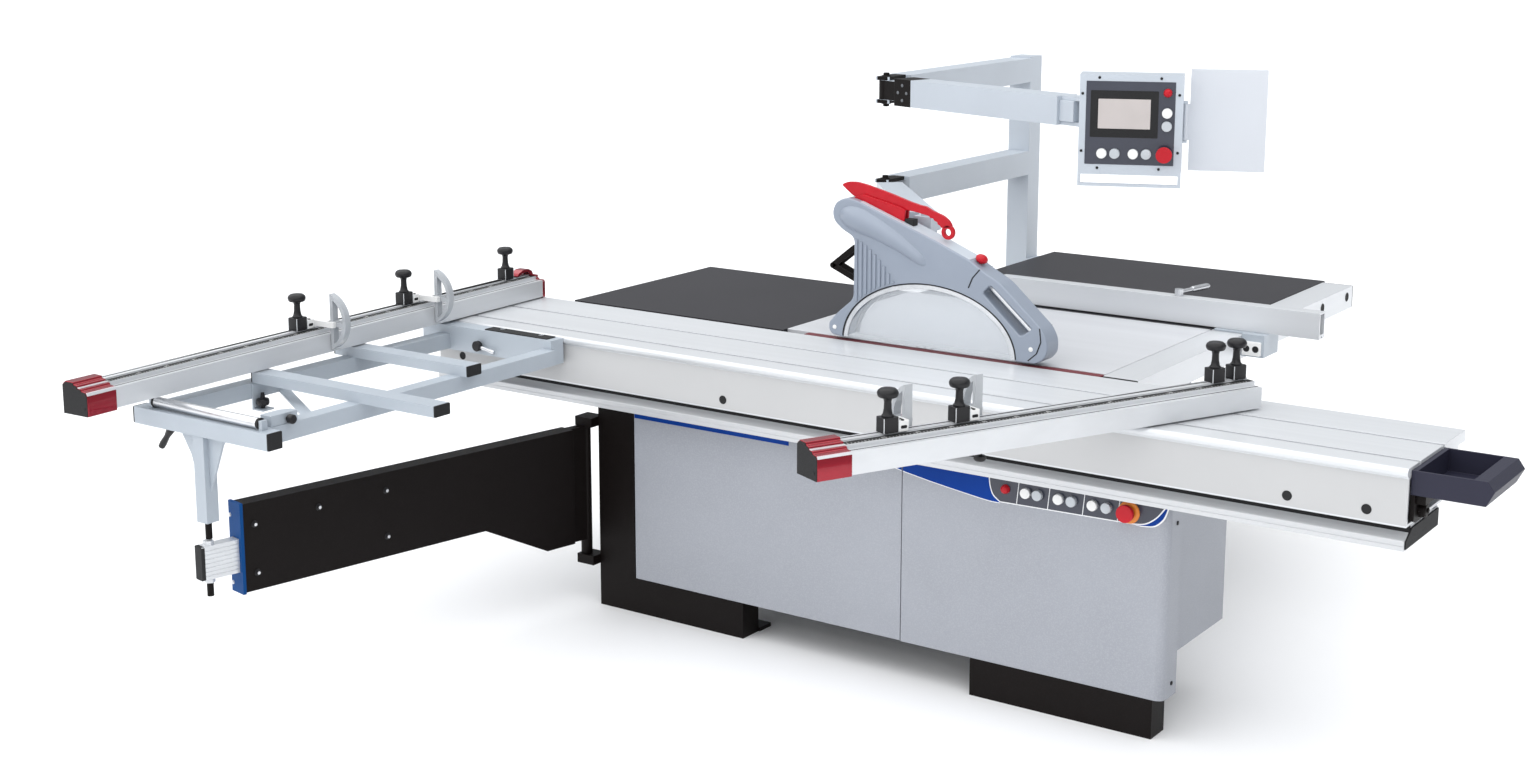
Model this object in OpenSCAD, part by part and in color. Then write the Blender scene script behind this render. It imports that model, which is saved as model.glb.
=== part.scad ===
// Sliding table saw with an outrigger, swing arm, overhead guard and jointed control panel.
// Millimetres. +X runs along the carriage to the operator's end, +Y to the rip fence side, +Z up.
// The origin is on the floor, at the centre of the four anchor holes in the feet.

/* [Machine] */
// Height of all table tops above the floor
table_z = 880; // [870:1:900]
// Place of the blade plane across the machine
blade_y = -147; // [-152:1:-142]
// Place of the blade's centre along the machine
blade_x = -20; // [-30:1:-10]
// Anchor hole spacing along the machine
anchor_sx = 900; // [880:1:940]
// Anchor hole spacing across the machine
anchor_sy = 930; // [920:1:940]
// Anchor hole radius
anchor_r = 7; // [5:0.5:9]

/* [Carriage] */
// Length of the sliding carriage
carriage_l = 3200; // [3150:1:3300]
// Width of the carriage
carriage_w = 450; // [445:1:455]
// Height of the carriage section
carriage_h = 151; // [148:1:154]
// Offset of the carriage's middle along the machine
carriage_x = 26; // [20:1:40]
// Gap between the carriage edge and the blade plane
blade_gap = 38; // [36:1:40]
// Wall of the carriage section
carriage_wall = 8; // [6:0.5:9]
// Width of the T-slot mouths
slot_w = 14; // [14:0.1:16]

/* [Base rail] */
// Height of the base rail section
rail_h = 53; // [48:1:56]
// Width of the base rail
rail_w = 260; // [240:1:265]
// Wall of the base rail
rail_wall = 6; // [5:0.5:8]

/* [Cabinet] */
// Length of the cabinet base
cabinet_l = 1911; // [1900:1:1940]
// Set-back of the cabinet front behind the carriage side
cabinet_set_back = 58; // [54:1:62]
// Height of the feet
foot_h = 112; // [105:1:118]
// Depth of the feet
foot_d = 82; // [76:1:86]
// Run of the front feet past the anchor holes
foot_past = 54.5; // [40:0.5:60]
// Width of the black end post
post_w = 141; // [130:1:150]
// Depth of the front covers
cover_d = 87; // [82:1:90]
// Place of the seam between door and cover
seam_x = 164; // [150:1:180]
// Sheet thickness of the panels
sheet_t = 3; // [2:0.25:4]
// Outer radius of the dust spigot
dust_r = 60; // [50:1:70]
// Length of the dust spigot
dust_l = 60; // [50:1:80]

/* [Tables] */
// Length of the cast table
iron_l = 1113; // [1100:1:1120]
// Width of the cast table
iron_w = 756; // [745:1:765]
// Plate thickness of the cast table
iron_t = 25; // [22:1:27]
// Rim depth of the cast table
iron_rim = 55; // [50:1:57]
// Length of the rear table
rear_l = 860; // [800:1:900]
// Length of the right table
right_l = 1078; // [1060:1:1090]
// Width of the right table
right_w = 1023; // [1000:1:1050]
// Rim depth of the black tables
tray_h = 44; // [38:1:50]
// Sheet of the black tables
tray_t = 5; // [4:0.5:8]
// Thickness of the red kerf strip
strip_t = 8; // [6:0.5:9]

/* [Rip fence] */
// Width of the fence rail
guide_w = 110; // [100:1:115]
// Height of the fence rail
guide_h = 78; // [70:1:85]
// Length of the fence rail
guide_l = 1775; // [1760:1:1790]
// Length of the rip fence
rip_l = 1120; // [1080:1:1140]
// Thickness of the rip fence
rip_t = 46; // [40:1:50]
// Height of the rip fence
rip_h = 84; // [78:1:90]
// Distance of the rip fence face from the blade plane
rip_reach = 783; // [770:1:800]

/* [Cross-cut and mitre fences] */
// Width of the fence section
fence_w = 87; // [86:1:92]
// Height of the fence section at its back
fence_h = 72; // [70:1:76]
// Height of the fence section at its front ledge
ledge_h = 57; // [54:1:60]
// Length of the cross-cut fence
crosscut_l = 1848; // [1830:1:1870]
// Resting angle of the cross-cut fence
crosscut_angle = 2.7; // [1.5:0.1:4]
// Length of the mitre fence
mitre_l = 1306; // [1290:1:1320]
// Resting angle of the mitre fence
mitre_angle = -24.9; // [-27:0.1:-23]
// Length of the red end caps
cap_l = 97; // [90:1:105]
// Radius of the clamp knobs
knob_r = 26; // [22:0.5:28]
// Height of the stop blades
ring_h = 170; // [160:1:172]

/* [Outrigger] */
// Width of the outrigger tubes
tube_w = 50; // [46:1:54]
// Height of the outrigger tubes
tube_h = 47; // [44:1:48]
// Reach of the outrigger from its carriage beam to the end bar
outrigger_reach = 1158; // [1150:1:1170]
// Radius of the outrigger roller
roller_r = 15; // [13:0.5:15.5]
// Side of the leg tube
leg_w = 42; // [38:1:46]
// Length of the leg tube
leg_l = 246; // [230:1:250]

/* [Swing arm] */
// Length of the arm from its hinge to its end plate
arm_l = 1245; // [1220:1:1250]
// Thickness of the arm
arm_t = 58; // [54:1:64]
// Resting angle of the arm
arm_angle = -11.3; // [-12:0.1:-10]
// Radius of the arm's hinge pin
arm_pin_r = 12; // [10:0.5:14]
// Width of the telescopic bar
bar_w = 36; // [32:1:40]
// Height of the telescopic bar
bar_h = 96; // [88:1:100]

/* [Saw unit] */
// Radius of the main blade
blade_r = 200; // [195:1:201]
// Height of the blade above the table at rest
blade_show = 6; // [4:0.5:7]
// Thickness of the main blade
blade_t = 4; // [3:0.1:4.4]
// Radius of the arbor
arbor_r = 17.5; // [15:0.5:20]
// Radius of the motor
motor_r = 95; // [85:1:100]
// Radius of the scoring blade
score_r = 60; // [55:1:62]

/* [Guard] */
// Width of the guard hood
guard_w = 76; // [72:1:80]
// Gap between the guard and the table
guard_gap = 8; // [8:0.5:12]
// Radius of the guard's duct
duct_r = 60; // [54:1:62]
// Thickness of the clear windows
window_t = 4; // [3:0.5:5]

/* [Column and arms] */
// Side of the column tube
column_w = 88; // [84:1:92]
// Height of the column
column_h = 1634; // [1620:1:1650]
// Height of the arm tubes
arm_h = 90; // [86:1:94]
// Length of the jointed panel arm
panel_arm_l = 935; // [900:1:950]
// Direction of the jointed panel arm
panel_arm_angle = -17; // [-20:1:-14]
// Length of the jointed guard arm
guard_arm_l = 829; // [826:1:832]
// Radius of the elbow pins
elbow_r = 12; // [10:0.5:13]

/* [Control panel] */
// Width of the panel box
panel_w = 307; // [300:1:315]
// Height of the panel box
panel_h = 293; // [285:1:300]
// Depth of the panel box
panel_d = 90; // [80:1:100]
// Direction that the panel's width runs in
panel_angle = 22; // [16:1:28]
// Width of the side flap
flap_w = 226; // [210:1:240]

/* [Buttons] */
// Radius of the cabinet buttons
button_r = 14.5; // [13:0.5:15]
// Radius of the panel buttons
small_r = 15; // [13:0.5:17]
// Radius of the emergency stops
stop_r = 24; // [20:0.5:25]
// Travel of a button
button_travel = 3; // [2:0.5:4]

/* [Hidden] */
$fn = 48;

// Overrun of cuts, sliding gap between bodies and running gap of pins
over = 2;
run_gap = 0.3;
pin_gap = 0.05;

// Carriage
wing_w = 50;
wing_t = 30;
deck_t = 28;
lip_r = 12;
slot_lip = 8;
slot_in_w = 24;
slot_in_h = 10;
slot_near = 80;
slot_far = 268;
car_y1 = blade_y - blade_gap;
car_y0 = car_y1 - carriage_w;
car_z0 = table_z - carriage_h;
car_x0 = carriage_x - carriage_l / 2;
car_x1 = carriage_x + carriage_l / 2;
car_box_w = carriage_w - wing_w - (carriage_h - wing_t);
car_void_w = (car_box_w - 3 * carriage_wall) / 2;

// Push handle on the carriage end
handle_w = 260;
handle_out = 200;
handle_h = 62;
handle_wall = 28;
handle_drop = 8;
handle_in = 15;
latch_out = 36;
latch_w = 190;
latch_gap = 8;

// Base rail
rail_lip = 10;
rail_gap = 4;
rail_round = 25;
track_w = 30;
track_in = 45;
rail_y0 = car_y0 - rail_lip;
rail_y1 = rail_y0 + rail_w;
rail_z1 = car_z0 - rail_gap;
rail_z0 = rail_z1 - rail_h;

// Cast table
iron_offset = 26.5;
iron_edge = 20;
kerf_gap = 4;
lug_l = 100;
lug_t = 22;
shoe_l = 40;
shoe_w = 100;
shoe_in = 40;
shoe_h = 75;
iron_x0 = iron_offset - iron_l / 2;
iron_x1 = iron_offset + iron_l / 2;
iron_y0 = blade_y + blade_t / 2 + kerf_gap;
iron_y1 = iron_y0 + iron_w;
iron_z0 = table_z - iron_rim;

// Black tables
rear_in = 24;
tray_edge = 24;
right_set = 35;
right_x0 = iron_x0 + right_set;
right_x1 = right_x0 + right_l;
right_y1 = iron_y1 + right_w;

// Red strip beside the blade
strip_gap = 5;
strip_lead = 89;
strip_x0 = iron_x0 + strip_lead;

// Cabinet
anchor_x = anchor_sx / 2;
anchor_y = anchor_sy / 2;
flange_t = 12;
flange_edge = 30;
flange_w = 120;
rear_foot_w = 180;
beam_w = 80;
beam_h = 60;
beam_in = 30;
beam_wall = 6;
sill_gap = 10;
end_gap = 16;
table_post_y = -70;
rear_foot_y0 = anchor_y + flange_edge;
rear_foot_y1 = rear_foot_y0 + foot_d;
cab_x0 = -cabinet_l / 2;
cab_x1 = cabinet_l / 2;
front_foot_l = cab_x1 - anchor_x + foot_past;
cab_y0 = car_y0 + cabinet_set_back;
sill_y0 = cab_y0 + cover_d + sill_gap;
beam_z1 = foot_h + beam_h;
shell_z0 = 205;
shell_gap = 12;
shell_y0 = cab_y0 + cover_d + sheet_t;
shell_d = 380;
shell_y1 = shell_y0 + shell_d;
body_in = 8;
body_x0 = iron_x0 + body_in;
body_x1 = iron_x1 - body_in;
body_y1 = rear_foot_y0 + sheet_t;
dust_z = 420;
dust_y = 300;

// Left door and its pivot pins
door_gap = 4;
door_d = 24;
door_pin_r = 5;
door_pin_l = 10;
door_pin_in = 8;
door_lift = 2;
door_drop = 12;
tab_t = 6;
tab_w = 26;
door_x0 = cab_x0 + post_w + door_gap;
door_x1 = seam_x - sheet_t / 2;
door_z0 = foot_h + door_lift;
door_z1 = rail_z0 - door_drop;
door_pin_x = door_x0 + door_pin_in;
door_pin_y = cab_y0 + door_pin_in;

// Right cover
cover_out = 29;
cover_round = 25;
cover_x0 = seam_x + sheet_t / 2;
cover_x1 = cab_x1 + cover_out;

// Arm hinge beside the end post
arm_out = 44;
arm_fwd = 13;
bracket_t = 30;
bracket_edge = 22;
bracket_back = 40;
arm_tube_r = 18;
arm_tube_z0 = 168;
arm_z0 = 335;
arm_z1 = 590;
arm_deep_z = 218;
arm_deep_share = 0.145;
arm_slope_share = 0.334;
arm_start = 70;
arm_wall = 5;
arm_web_w = 30;
plate_t = 10;
plate_edge = 4;
arm_x = cab_x0 - arm_out;
arm_y = cab_y0 - arm_fwd;

// Telescopic bar of the arm
bar_z0 = 394;
bar_start = 150;
bar_out = 104;
rod_r = 9;
rod_back = 21;
rod_drop = 51;
nut_r = 15;
nut_h = 12;
fin_d = 3;
fin_n = 8;

// Outrigger
beam_d = 58;
out_beam_h = 79;
out_beam_drop = 4;
out_x0 = -1580;
out_x1 = -1034;
out_side_x = -1020;
out_far_x = -1460;
end_x0 = -1515;
end_x1 = -980;
bar_top_w = 60;
bar_near_share = 0.69;
bar_far_share = 0.34;
bar_near_x0 = -1461;
bar_near_x1 = -741;
bar_far_x0 = -1543;
bar_far_x1 = -997;
roller_x0 = -1455;
roller_x1 = -1026;
axle_r = 6;
holder_t = 12;
holder_w = 20;
gusset_l = 70;
gusset_h = 110;
gusset_t = 6;
rod_gap = 4;
out_y1 = car_y0 - lip_r - run_gap;
out_y0 = out_y1 - beam_d;
end_y1 = out_y0 - outrigger_reach;
end_y0 = end_y1 - tube_w;
out_z1 = table_z - out_beam_drop;
bar_top_h = 32;
tube_z1 = table_z - bar_top_h;
tube_z0 = tube_z1 - tube_h;
roller_y = (end_y0 + end_y1) / 2;
leg_x = arm_x + (arm_y - roller_y) * tan(arm_angle);
roller_z = table_z - roller_r;
leg_z0 = tube_z0 - leg_l;

// Fences on the carriage and outrigger
fence_lift = 5;
fence_z0 = table_z + fence_lift;
step_share = 0.33;
back_share = 0.66;
step_h = 4;
cavity_w = 40;
cavity_z = 14;
cavity_h = 30;
cap_edge = 4;
pivot_r = 10;
pivot_pad_r = 26;
pivot_rise = 8;
pivot_x = -1522;
pivot_y = (out_y0 + out_y1) / 2;
crosscut_back = 472;
mitre_pivot_x = 1026;
mitre_pivot_y = car_y0 + slot_far;
mitre_back = 108;
mitre_pin_r = 6.8;
hook_t = 12;
hook_drop = 3;
extension_l = 900;
mitre_knob_y = 75;

// Fence stops
block_w = 36;
block_l = 44;
block_h = 38;
block_x = -25;
stem_r = 8;
stem_h = 50;
knob_h = 20;
reader_l = 28;
reader_h = 26;
cross_l = 14;
cross_h = 16;
pin_r = 5;
ring_t = 22;
ring_w = 62;
ring_bar = 12;
ring_gap = 2;
hub_r = 11;
hub_rise = 14;
ring_lift_share = 0.04;
spoke_h = 12;
crosscut_stop_ya = -622;
crosscut_stop_yb = -150;
crosscut_clamp_y = 358;
mitre_stop_ya = -1052;
mitre_stop_yb = -839;
hub_x = fence_w / 2 + ring_gap + ring_bar;
hub_z = fence_h + hub_rise;
ring_sag_r = (ring_w * ring_w + ring_h * ring_h / 4) / (2 * ring_w);

// Fence rail and rip fence
guide_drop = 2;
guide_wall = 6;
guide_lead = 19;
guide_x1 = iron_x1 + guide_w;
guide_z1 = table_z - guide_drop;
guide_y0 = iron_y0 - guide_lead;
rip_x1 = 930;
head_l = 75;
head_w = 120;
head_h = 72;
head_set = 36;
tongue_l = 100;
tongue_w = 80;
tongue_t = 5.7;
key_w = 12;
key_h = 8;
stud_r = 6;
stud_h = 17;
lever_r = 14;
lever_h = 22;
lever_l = 160;
lever_rod_r = 7;
lever_turn = -12;
lever_x = 452;
rip_y0 = blade_y + rip_reach;
tongue_z1 = guide_z1 + run_gap + tongue_t;
rip_z0 = tongue_z1 + run_gap;

// Saw unit
trunnion_half = 320;
trunnion_t = 20;
trunnion_in = 25;
trunnion_w = 395;
trunnion_h = 300;
trunnion_drop = 60;
throat_gap = 5;
tie_w = 40;
tie_z_share = 0.25;
guide_rod_r = 14;
guide_rod_in = 34;
guide_rod_y = 200;
guide_lug_t = 20;
blade_z = table_z + blade_show - blade_r;
flange_r = 45;
flange_nut = 24;
housing_r = 40;
housing_y0 = 14;
housing_y1 = 90;
pulley_y0 = 96;
pulley_w = 30;
pulley_r = 35;
motor_pulley_r = 45;
carrier_y0 = 160;
carrier_t = 20;
carrier_top = 54;
carrier_low = 120;
yoke_w = 82;
yoke_t = 18;
yoke_h = 20;
slider_w = 52;
slider_h = 70;
slider_drop = 90;
motor_drop = 290;
motor_l = 150;
motor_shaft_r = 16;
belt_t = 5;
belt_w = 24;
belt_n = 32;
belt_lean = asin((motor_pulley_r - pulley_r) / motor_drop);
belt_top_turn = 180 - 2 * belt_lean;
belt_low_turn = 180 + 2 * belt_lean;
knife_t = 2.8;
knife_gap = 7;
knife_w = 46;
knife_low = 20;
knife_top = 8;
knife_arm_h = 40;
score_x = 250;
score_t = 3;
score_drop = 3;
score_axle_r = 10;
score_block = 26;
score_y0 = 30;
score_y1 = 90;
teeth_n = 48;
tooth_h = 5;
tooth_w = 3;
blade_ring_r = blade_r - tooth_h;

// Guard, in shares of its length and height
guard_l = 760;
guard_h = 440;
guard_x = 36;
guard_z0 = table_z + guard_gap;
guard_wall = 4;
guard_shares = [[-0.5, 0.02], [-0.5, 0.1], [-0.385, 0.29], [-0.385, 0.72], [-0.49, 0.82], [-0.5, 0.93],
    [-0.43, 1], [-0.36, 1], [0.09, 0.67], [0.2, 0.6], [0.4, 0.28], [0.5, 0.16], [0.5, 0.02], [0.42, 0],
    [-0.47, 0]];
arch_x_share = -0.035;
arch_w_share = 0.4;
arch_top_share = 0.45;
slot_shares = [[0.21, 0.46], [0.26, 0.47], [0.42, 0.2], [0.385, 0.18]];
duct_from_shares = [-0.42, 0.86];
duct_to_shares = [-0.02, 0.56];
duct_end_share = 0.45;
post_side = 30;
post_set = 43.6;
post_share = -0.1337;
post_low_share = 0.466;
post_top = 400;
foot_plate_t = 30;
sleeve_side = 62;
sleeve_h = 45;

// Push stick, in shares of its length and height
stick_l = 430;
stick_h = 150;
stick_t = 12;
stick_from_shares = [-0.455, 0.766];
stick_shares = [[0, 1], [0.14, 0.97], [0.62, 0.62], [0.88, 0.36], [0.945, 0.24], [0.87, 0.2], [0.8, 0.3],
    [0.66, 0.47], [0.46, 0.55], [0.16, 0.82]];
stick_ring_shares = [0.915, 0.13];
stick_ring_r = 13;
holder_edge = 8;
holder_shares = [[0.186, 0.55], [0.488, 0.18], [0.488, 0.64], [0.186, 0.9]];
holder_slot_shares = [[0.18, 0.78], [0.49, 0.51], [0.49, 1], [0.18, 1]];

// Column and arms
column_wall = 6;
column_base = 220;
column_base_t = 15;
column_out = 109;
column_back = 60;
bracket_h = 50;
bracket_drop = 20;
upper_drop = 6;
lower_z0 = 1186;
lug_plate_t = 12;
lug_half = 26;
barrel_r = 24;
reach = 90;
web_w = 40;
end_reach = 70;
weep_r = 5;
column_hole_r = 6;
column_hole_in = 25;
column_x = right_x0 - column_out;
column_y = right_y1 - column_back;
guard_px = guard_at([post_share, 0]).x;
guard_py = blade_y + guard_w / 2 + post_set;
guard_arm_angle = -acos((guard_px - column_x) / guard_arm_l);
elbow_y = guard_py - guard_arm_l * sin(guard_arm_angle);
inner_arm_l = column_y - column_w / 2 - elbow_y;
upper_z0 = column_h - upper_drop - arm_h;

// Control panel
panel_wall = 4;
panel_left = -18;
panel_gap = 40;
panel_front = -panel_gap - panel_d;
panel_up = 83;
panel_pin_r = 10;
panel_barrel_r = 22;
loop_h = 45;
loop_t = 12;
loop_bar = 9;
flap_t = 4;
flap_gap = 6;
flap_in = 6;
flap_over = 14;
flap_lug = 8;
flap_half = 55;
flap_pin_r = 3;
flap_barrel_r = 6;
panel_z0 = upper_z0 + arm_h + panel_up - panel_h;
panel_px = column_x + panel_arm_l * cos(panel_arm_angle);
panel_py = elbow_y + panel_arm_l * sin(panel_arm_angle);
hinge_x = panel_left + panel_w + flap_gap;
hinge_y = panel_front + panel_d - flap_in;

// Buttons: shares along the cabinet cover, and across and down the panel face
button_z = 626;
cabinet_button_shares = [0.4854, 0.5293, 0.6074, 0.6551, 0.732, 0.782];
cabinet_stop_share = 0.8602;
cabinet_lamp_share = 0.406;
panel_button_shares = [[0.85, 0.385], [0.85, 0.52], [0.23, 0.81], [0.356, 0.81],
    [0.534, 0.81], [0.66, 0.81]];
panel_stop_shares = [0.835, 0.805];
panel_lamp_shares = [0.85, 0.18];
stem_share = 0.66;
button_up = 14;
stop_up = 34;
stop_cap = 14;
stem_in = 14;
lamp_r = 11;
lamp_up = 8;

// Box between two opposite corners
module span(p, q) {
    translate(p) cube(q - p);
}

// Rectangle between two opposite corners
module rect(p, q) {
    translate(p) square(q - p);
}

// Outline in Y and Z drawn out along X
module along_x(x0, x1) {
    translate([x0, 0, 0]) rotate([90, 0, 90]) linear_extrude(x1 - x0) children();
}

// Outline in X and Z drawn out along Y
module along_y(y0, y1) {
    translate([0, y1, 0]) rotate([90, 0, 0]) linear_extrude(y1 - y0) children();
}

// Round bars along each axis
module rod_x(y, z, x0, x1, r) {
    translate([x0, y, z]) rotate([0, 90, 0]) cylinder(r = r, h = x1 - x0);
}

module rod_y(x, z, y0, y1, r) {
    translate([x, y1, z]) rotate([90, 0, 0]) cylinder(r = r, h = y1 - y0);
}

module rod_z(x, y, z0, z1, r) {
    translate([x, y, z0]) cylinder(r = r, h = z1 - z0);
}

// Upright box tube
module tube_z(p, q, wall) {
    edge = [wall, wall, -over];
    difference() {
        span(p, q);
        span(p + edge, q - edge);
    }
}

// Black welded base: feet, floor flanges, beams, posts and arm brackets
module base_frame() {
    pin_z0 = arm_tube_z0 - run_gap - bracket_t;
    pin_z1 = arm_z1 + run_gap + bracket_t;
    color("#231d1b") difference() {
        union() {
            for (x = [cab_x0, cab_x1 - front_foot_l])
                span([x, cab_y0, 0], [x + front_foot_l, cab_y0 + foot_d, foot_h]);
            for (side = [-1, 1]) {
                x = side * anchor_x;
                span([x - rear_foot_w / 2, rear_foot_y0, 0], [x + rear_foot_w / 2, rear_foot_y1, foot_h]);
                span([x - flange_w / 2, cab_y0 + foot_d, 0],
                    [x + flange_w / 2, flange_edge - anchor_y, flange_t]);
                span([x - flange_w / 2, anchor_y - flange_edge, 0],
                    [x + flange_w / 2, rear_foot_y0, flange_t]);
                span([x - beam_w / 2, cab_y0 + beam_in, foot_h], [x + beam_w / 2, rear_foot_y1, beam_z1]);
                tube_z([x - beam_w / 2, sill_y0, beam_z1],
                    [x + beam_w / 2, sill_y0 + beam_w, rail_z0], beam_wall);
                for (y = [table_post_y, rear_foot_y0 - beam_h])
                    tube_z([x - beam_w / 2, y, beam_z1],
                        [x + beam_w / 2, y + beam_h, table_z - iron_t], beam_wall);
            }
            span([cab_x0, sill_y0, foot_h], [cab_x1 - end_gap, sill_y0 + beam_h, beam_z1]);
            tube_z([cab_x0, cab_y0, foot_h], [cab_x0 + post_w, cab_y0 + cover_d, rail_z0], beam_wall);
            span([cab_x0, cab_y0 + cover_d - beam_wall, foot_h], [cab_x0 + post_w, sill_y0 + over, beam_z1]);
            tube_z([cab_x1 - end_gap - beam_w, sill_y0, beam_z1],
                [cab_x1 - end_gap, sill_y0 + beam_w, rail_z0], beam_wall);
            for (z = [pin_z0, arm_z1 + run_gap])
                span([arm_x - bracket_edge, arm_y - bracket_edge, z],
                    [cab_x0, arm_y + bracket_back, z + bracket_t]);
            rod_z(arm_x, arm_y, pin_z0, pin_z1, arm_pin_r);
            span([cab_x0 + post_w, cab_y0 + over, door_z1 + over],
                [cab_x0 + post_w + tab_w, cab_y0 + door_d, door_z1 + over + tab_t]);
        }
        for (x = [-anchor_x, anchor_x])
            for (y = [-anchor_y, anchor_y])
                rod_z(x, y, -over, flange_t + over, anchor_r);
        rod_z(door_pin_x, door_pin_y, foot_h - door_pin_l, foot_h + over, door_pin_r + pin_gap);
        rod_z(door_pin_x, door_pin_y, door_z1, rail_z0, door_pin_r + pin_gap);
    }
}

// Outline of the sheet enclosure in plan: a long front box and the saw body behind it
module shell_plan(inset) {
    front = inset > 0 ? over : 0;
    rect([cab_x0 + post_w + inset, shell_y0 - front], [cab_x1 - inset, shell_y1 - inset]);
    rect([body_x0 + inset, shell_y1 - 2 * sheet_t], [body_x1 - inset, body_y1 - inset]);
}

// Grey sheet enclosure with the dust spigot
module cabinet_shell() {
    shell_z1 = rail_z0 - shell_gap;
    color("#a9adb5") difference() {
        union() {
            translate([0, 0, shell_z0]) linear_extrude(shell_z1 - shell_z0) difference() {
                shell_plan(0);
                shell_plan(sheet_t);
            }
            translate([0, 0, shell_z1]) linear_extrude(iron_z0 - shell_z1) difference() {
                rect([body_x0, shell_y1], [body_x1, body_y1]);
                rect([body_x0 + sheet_t, shell_y1 - over], [body_x1 - sheet_t, body_y1 - sheet_t]);
            }
            rod_x(dust_y, dust_z, body_x0 - dust_l, body_x0 + sheet_t, dust_r);
        }
        rod_x(dust_y, dust_z, body_x0 - dust_l - over, body_x0 + sheet_t + over, dust_r - sheet_t);
    }
}

// A share along the right cover as a place in X
function cover_at(s) = cover_x0 + s * (cover_x1 - cover_x0);

// Front panel wrapped round the right end, drilled for the buttons
module right_cover() {
    x1 = cover_x1 - cover_round;
    y1 = cab_y0 + cover_round;
    color("#abafb8") difference() {
        translate([0, 0, foot_h]) linear_extrude(door_z1 - foot_h) {
            rect([cover_x0, cab_y0], [x1, cab_y0 + sheet_t]);
            rect([cover_x1 - sheet_t, y1], [cover_x1, cab_y0 + cover_d]);
            rect([cover_x0, cab_y0], [cover_x0 + sheet_t, cab_y0 + door_d]);
            rect([cab_x1 - sheet_t, cab_y0 + cover_d - sheet_t], [cover_x1, cab_y0 + cover_d]);
            intersection() {
                difference() {
                    translate([x1, y1]) circle(cover_round);
                    translate([x1, y1]) circle(cover_round - sheet_t);
                }
                rect([x1, cab_y0], [cover_x1, y1]);
            }
        }
        for (s = concat(cabinet_button_shares, [cabinet_stop_share]))
            rod_y(cover_at(s), button_z, cab_y0 - over, cab_y0 + stem_in, button_r * stem_share + run_gap);
    }
    color("#c01525") rod_y(cover_at(cabinet_lamp_share), button_z, cab_y0 - lamp_up, cab_y0, lamp_r);
}

// Door pan with pivot pins at the top and bottom of its left edge
module left_door() {
    color("#abafb8") {
        difference() {
            span([door_x0, cab_y0, door_z0], [door_x1, cab_y0 + door_d, door_z1]);
            span([door_x0 + 2 * door_pin_in, cab_y0 + sheet_t, door_z0 + sheet_t],
                [door_x1 - sheet_t, cab_y0 + door_d + over, door_z1 - sheet_t]);
        }
        rod_z(door_pin_x, door_pin_y, door_z0 - door_pin_l, door_z0, door_pin_r);
        rod_z(door_pin_x, door_pin_y, door_z1, door_z1 + door_pin_l - over, door_pin_r);
    }
}

// Extruded rail with a rounded outer lip and two running tracks
module base_rail() {
    color("#c9c7c2") along_x(car_x0, car_x1) difference() {
        union() {
            rect([rail_y0 + rail_round, rail_z0], [rail_y1, rail_z1]);
            rect([rail_y0, rail_z0], [rail_y0 + rail_round, rail_z1 - rail_round]);
            translate([rail_y0 + rail_round, rail_z1 - rail_round]) circle(rail_round);
            for (y = [rail_y0 + track_in, rail_y1 - track_in - track_w])
                rect([y, rail_z1 - rail_wall], [y + track_w, car_z0 - run_gap]);
        }
        rect([rail_y0 + rail_round + rail_wall, rail_z0 + rail_wall],
            [rail_y1 - rail_wall, rail_z1 - rail_wall]);
    }
}

// Sliding carriage: hollow section with two T-slots and a thin wing beside the blade
module carriage() {
    color("#d3d3d0") along_x(car_x0, car_x1) difference() {
        union() {
            polygon([[car_y0, car_z0], [car_y0 + car_box_w, car_z0], [car_y1 - wing_w, table_z - wing_t],
                [car_y1, table_z - wing_t], [car_y1, table_z], [car_y0, table_z]]);
            translate([car_y0, table_z - lip_r]) circle(lip_r);
        }
        for (y = [car_y0 + slot_near, car_y0 + slot_far]) {
            rect([y - slot_w / 2, table_z - slot_lip], [y + slot_w / 2, table_z + over]);
            rect([y - slot_in_w / 2, table_z - slot_lip - slot_in_h],
                [y + slot_in_w / 2, table_z - slot_lip]);
        }
        for (y = [car_y0 + carriage_wall, car_y0 + 2 * carriage_wall + car_void_w])
            rect([y, car_z0 + carriage_wall], [y + car_void_w, table_z - deck_t]);
    }
}

// Open box handle on the operator's end of the carriage
module carriage_handle() {
    y0 = car_y0 + handle_in;
    z1 = table_z - handle_drop;
    color("#3d434d") span([car_x1, y0, car_z0 + latch_gap],
        [car_x1 + latch_out, y0 + latch_w, z1 - handle_h]);
    color("#3d434d") difference() {
        span([car_x1, y0, z1 - handle_h], [car_x1 + handle_out, y0 + handle_w, z1]);
        span([car_x1 + handle_wall / 2, y0 + handle_wall, z1 - handle_h - over],
            [car_x1 + handle_out - handle_wall, y0 + handle_w - handle_wall, z1 + over]);
    }
}

// Cast table: plate, rim, lugs for the red strip and shoes for the tilting unit
module iron_table() {
    edge = [iron_edge, iron_edge, 0];
    throat = trunnion_half - trunnion_t + throat_gap;
    color("#b9bcc0") {
        difference() {
            span([iron_x0, iron_y0, iron_z0], [iron_x1, iron_y1, table_z]);
            span([iron_x0, iron_y0, iron_z0 - over] + edge, [iron_x1, iron_y1, table_z - iron_t] - edge);
            span([blade_x - throat, iron_y0 - over, iron_z0 - over],
                [blade_x + throat, iron_y0 + iron_edge + over, table_z - iron_t]);
        }
        for (x = [strip_x0, iron_x1 - lug_l])
            span([x, car_y1 + strip_gap + over, table_z - strip_t - lug_t],
                [x + lug_l, iron_y0, table_z - strip_t]);
        for (side = [-1, 1]) {
            x = blade_x + side * (trunnion_half + run_gap + shoe_l / 2);
            span([x - shoe_l / 2, blade_y + shoe_in, table_z - iron_t - shoe_h],
                [x + shoe_l / 2, blade_y + shoe_in + shoe_w, table_z - iron_t]);
        }
    }
}

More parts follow.
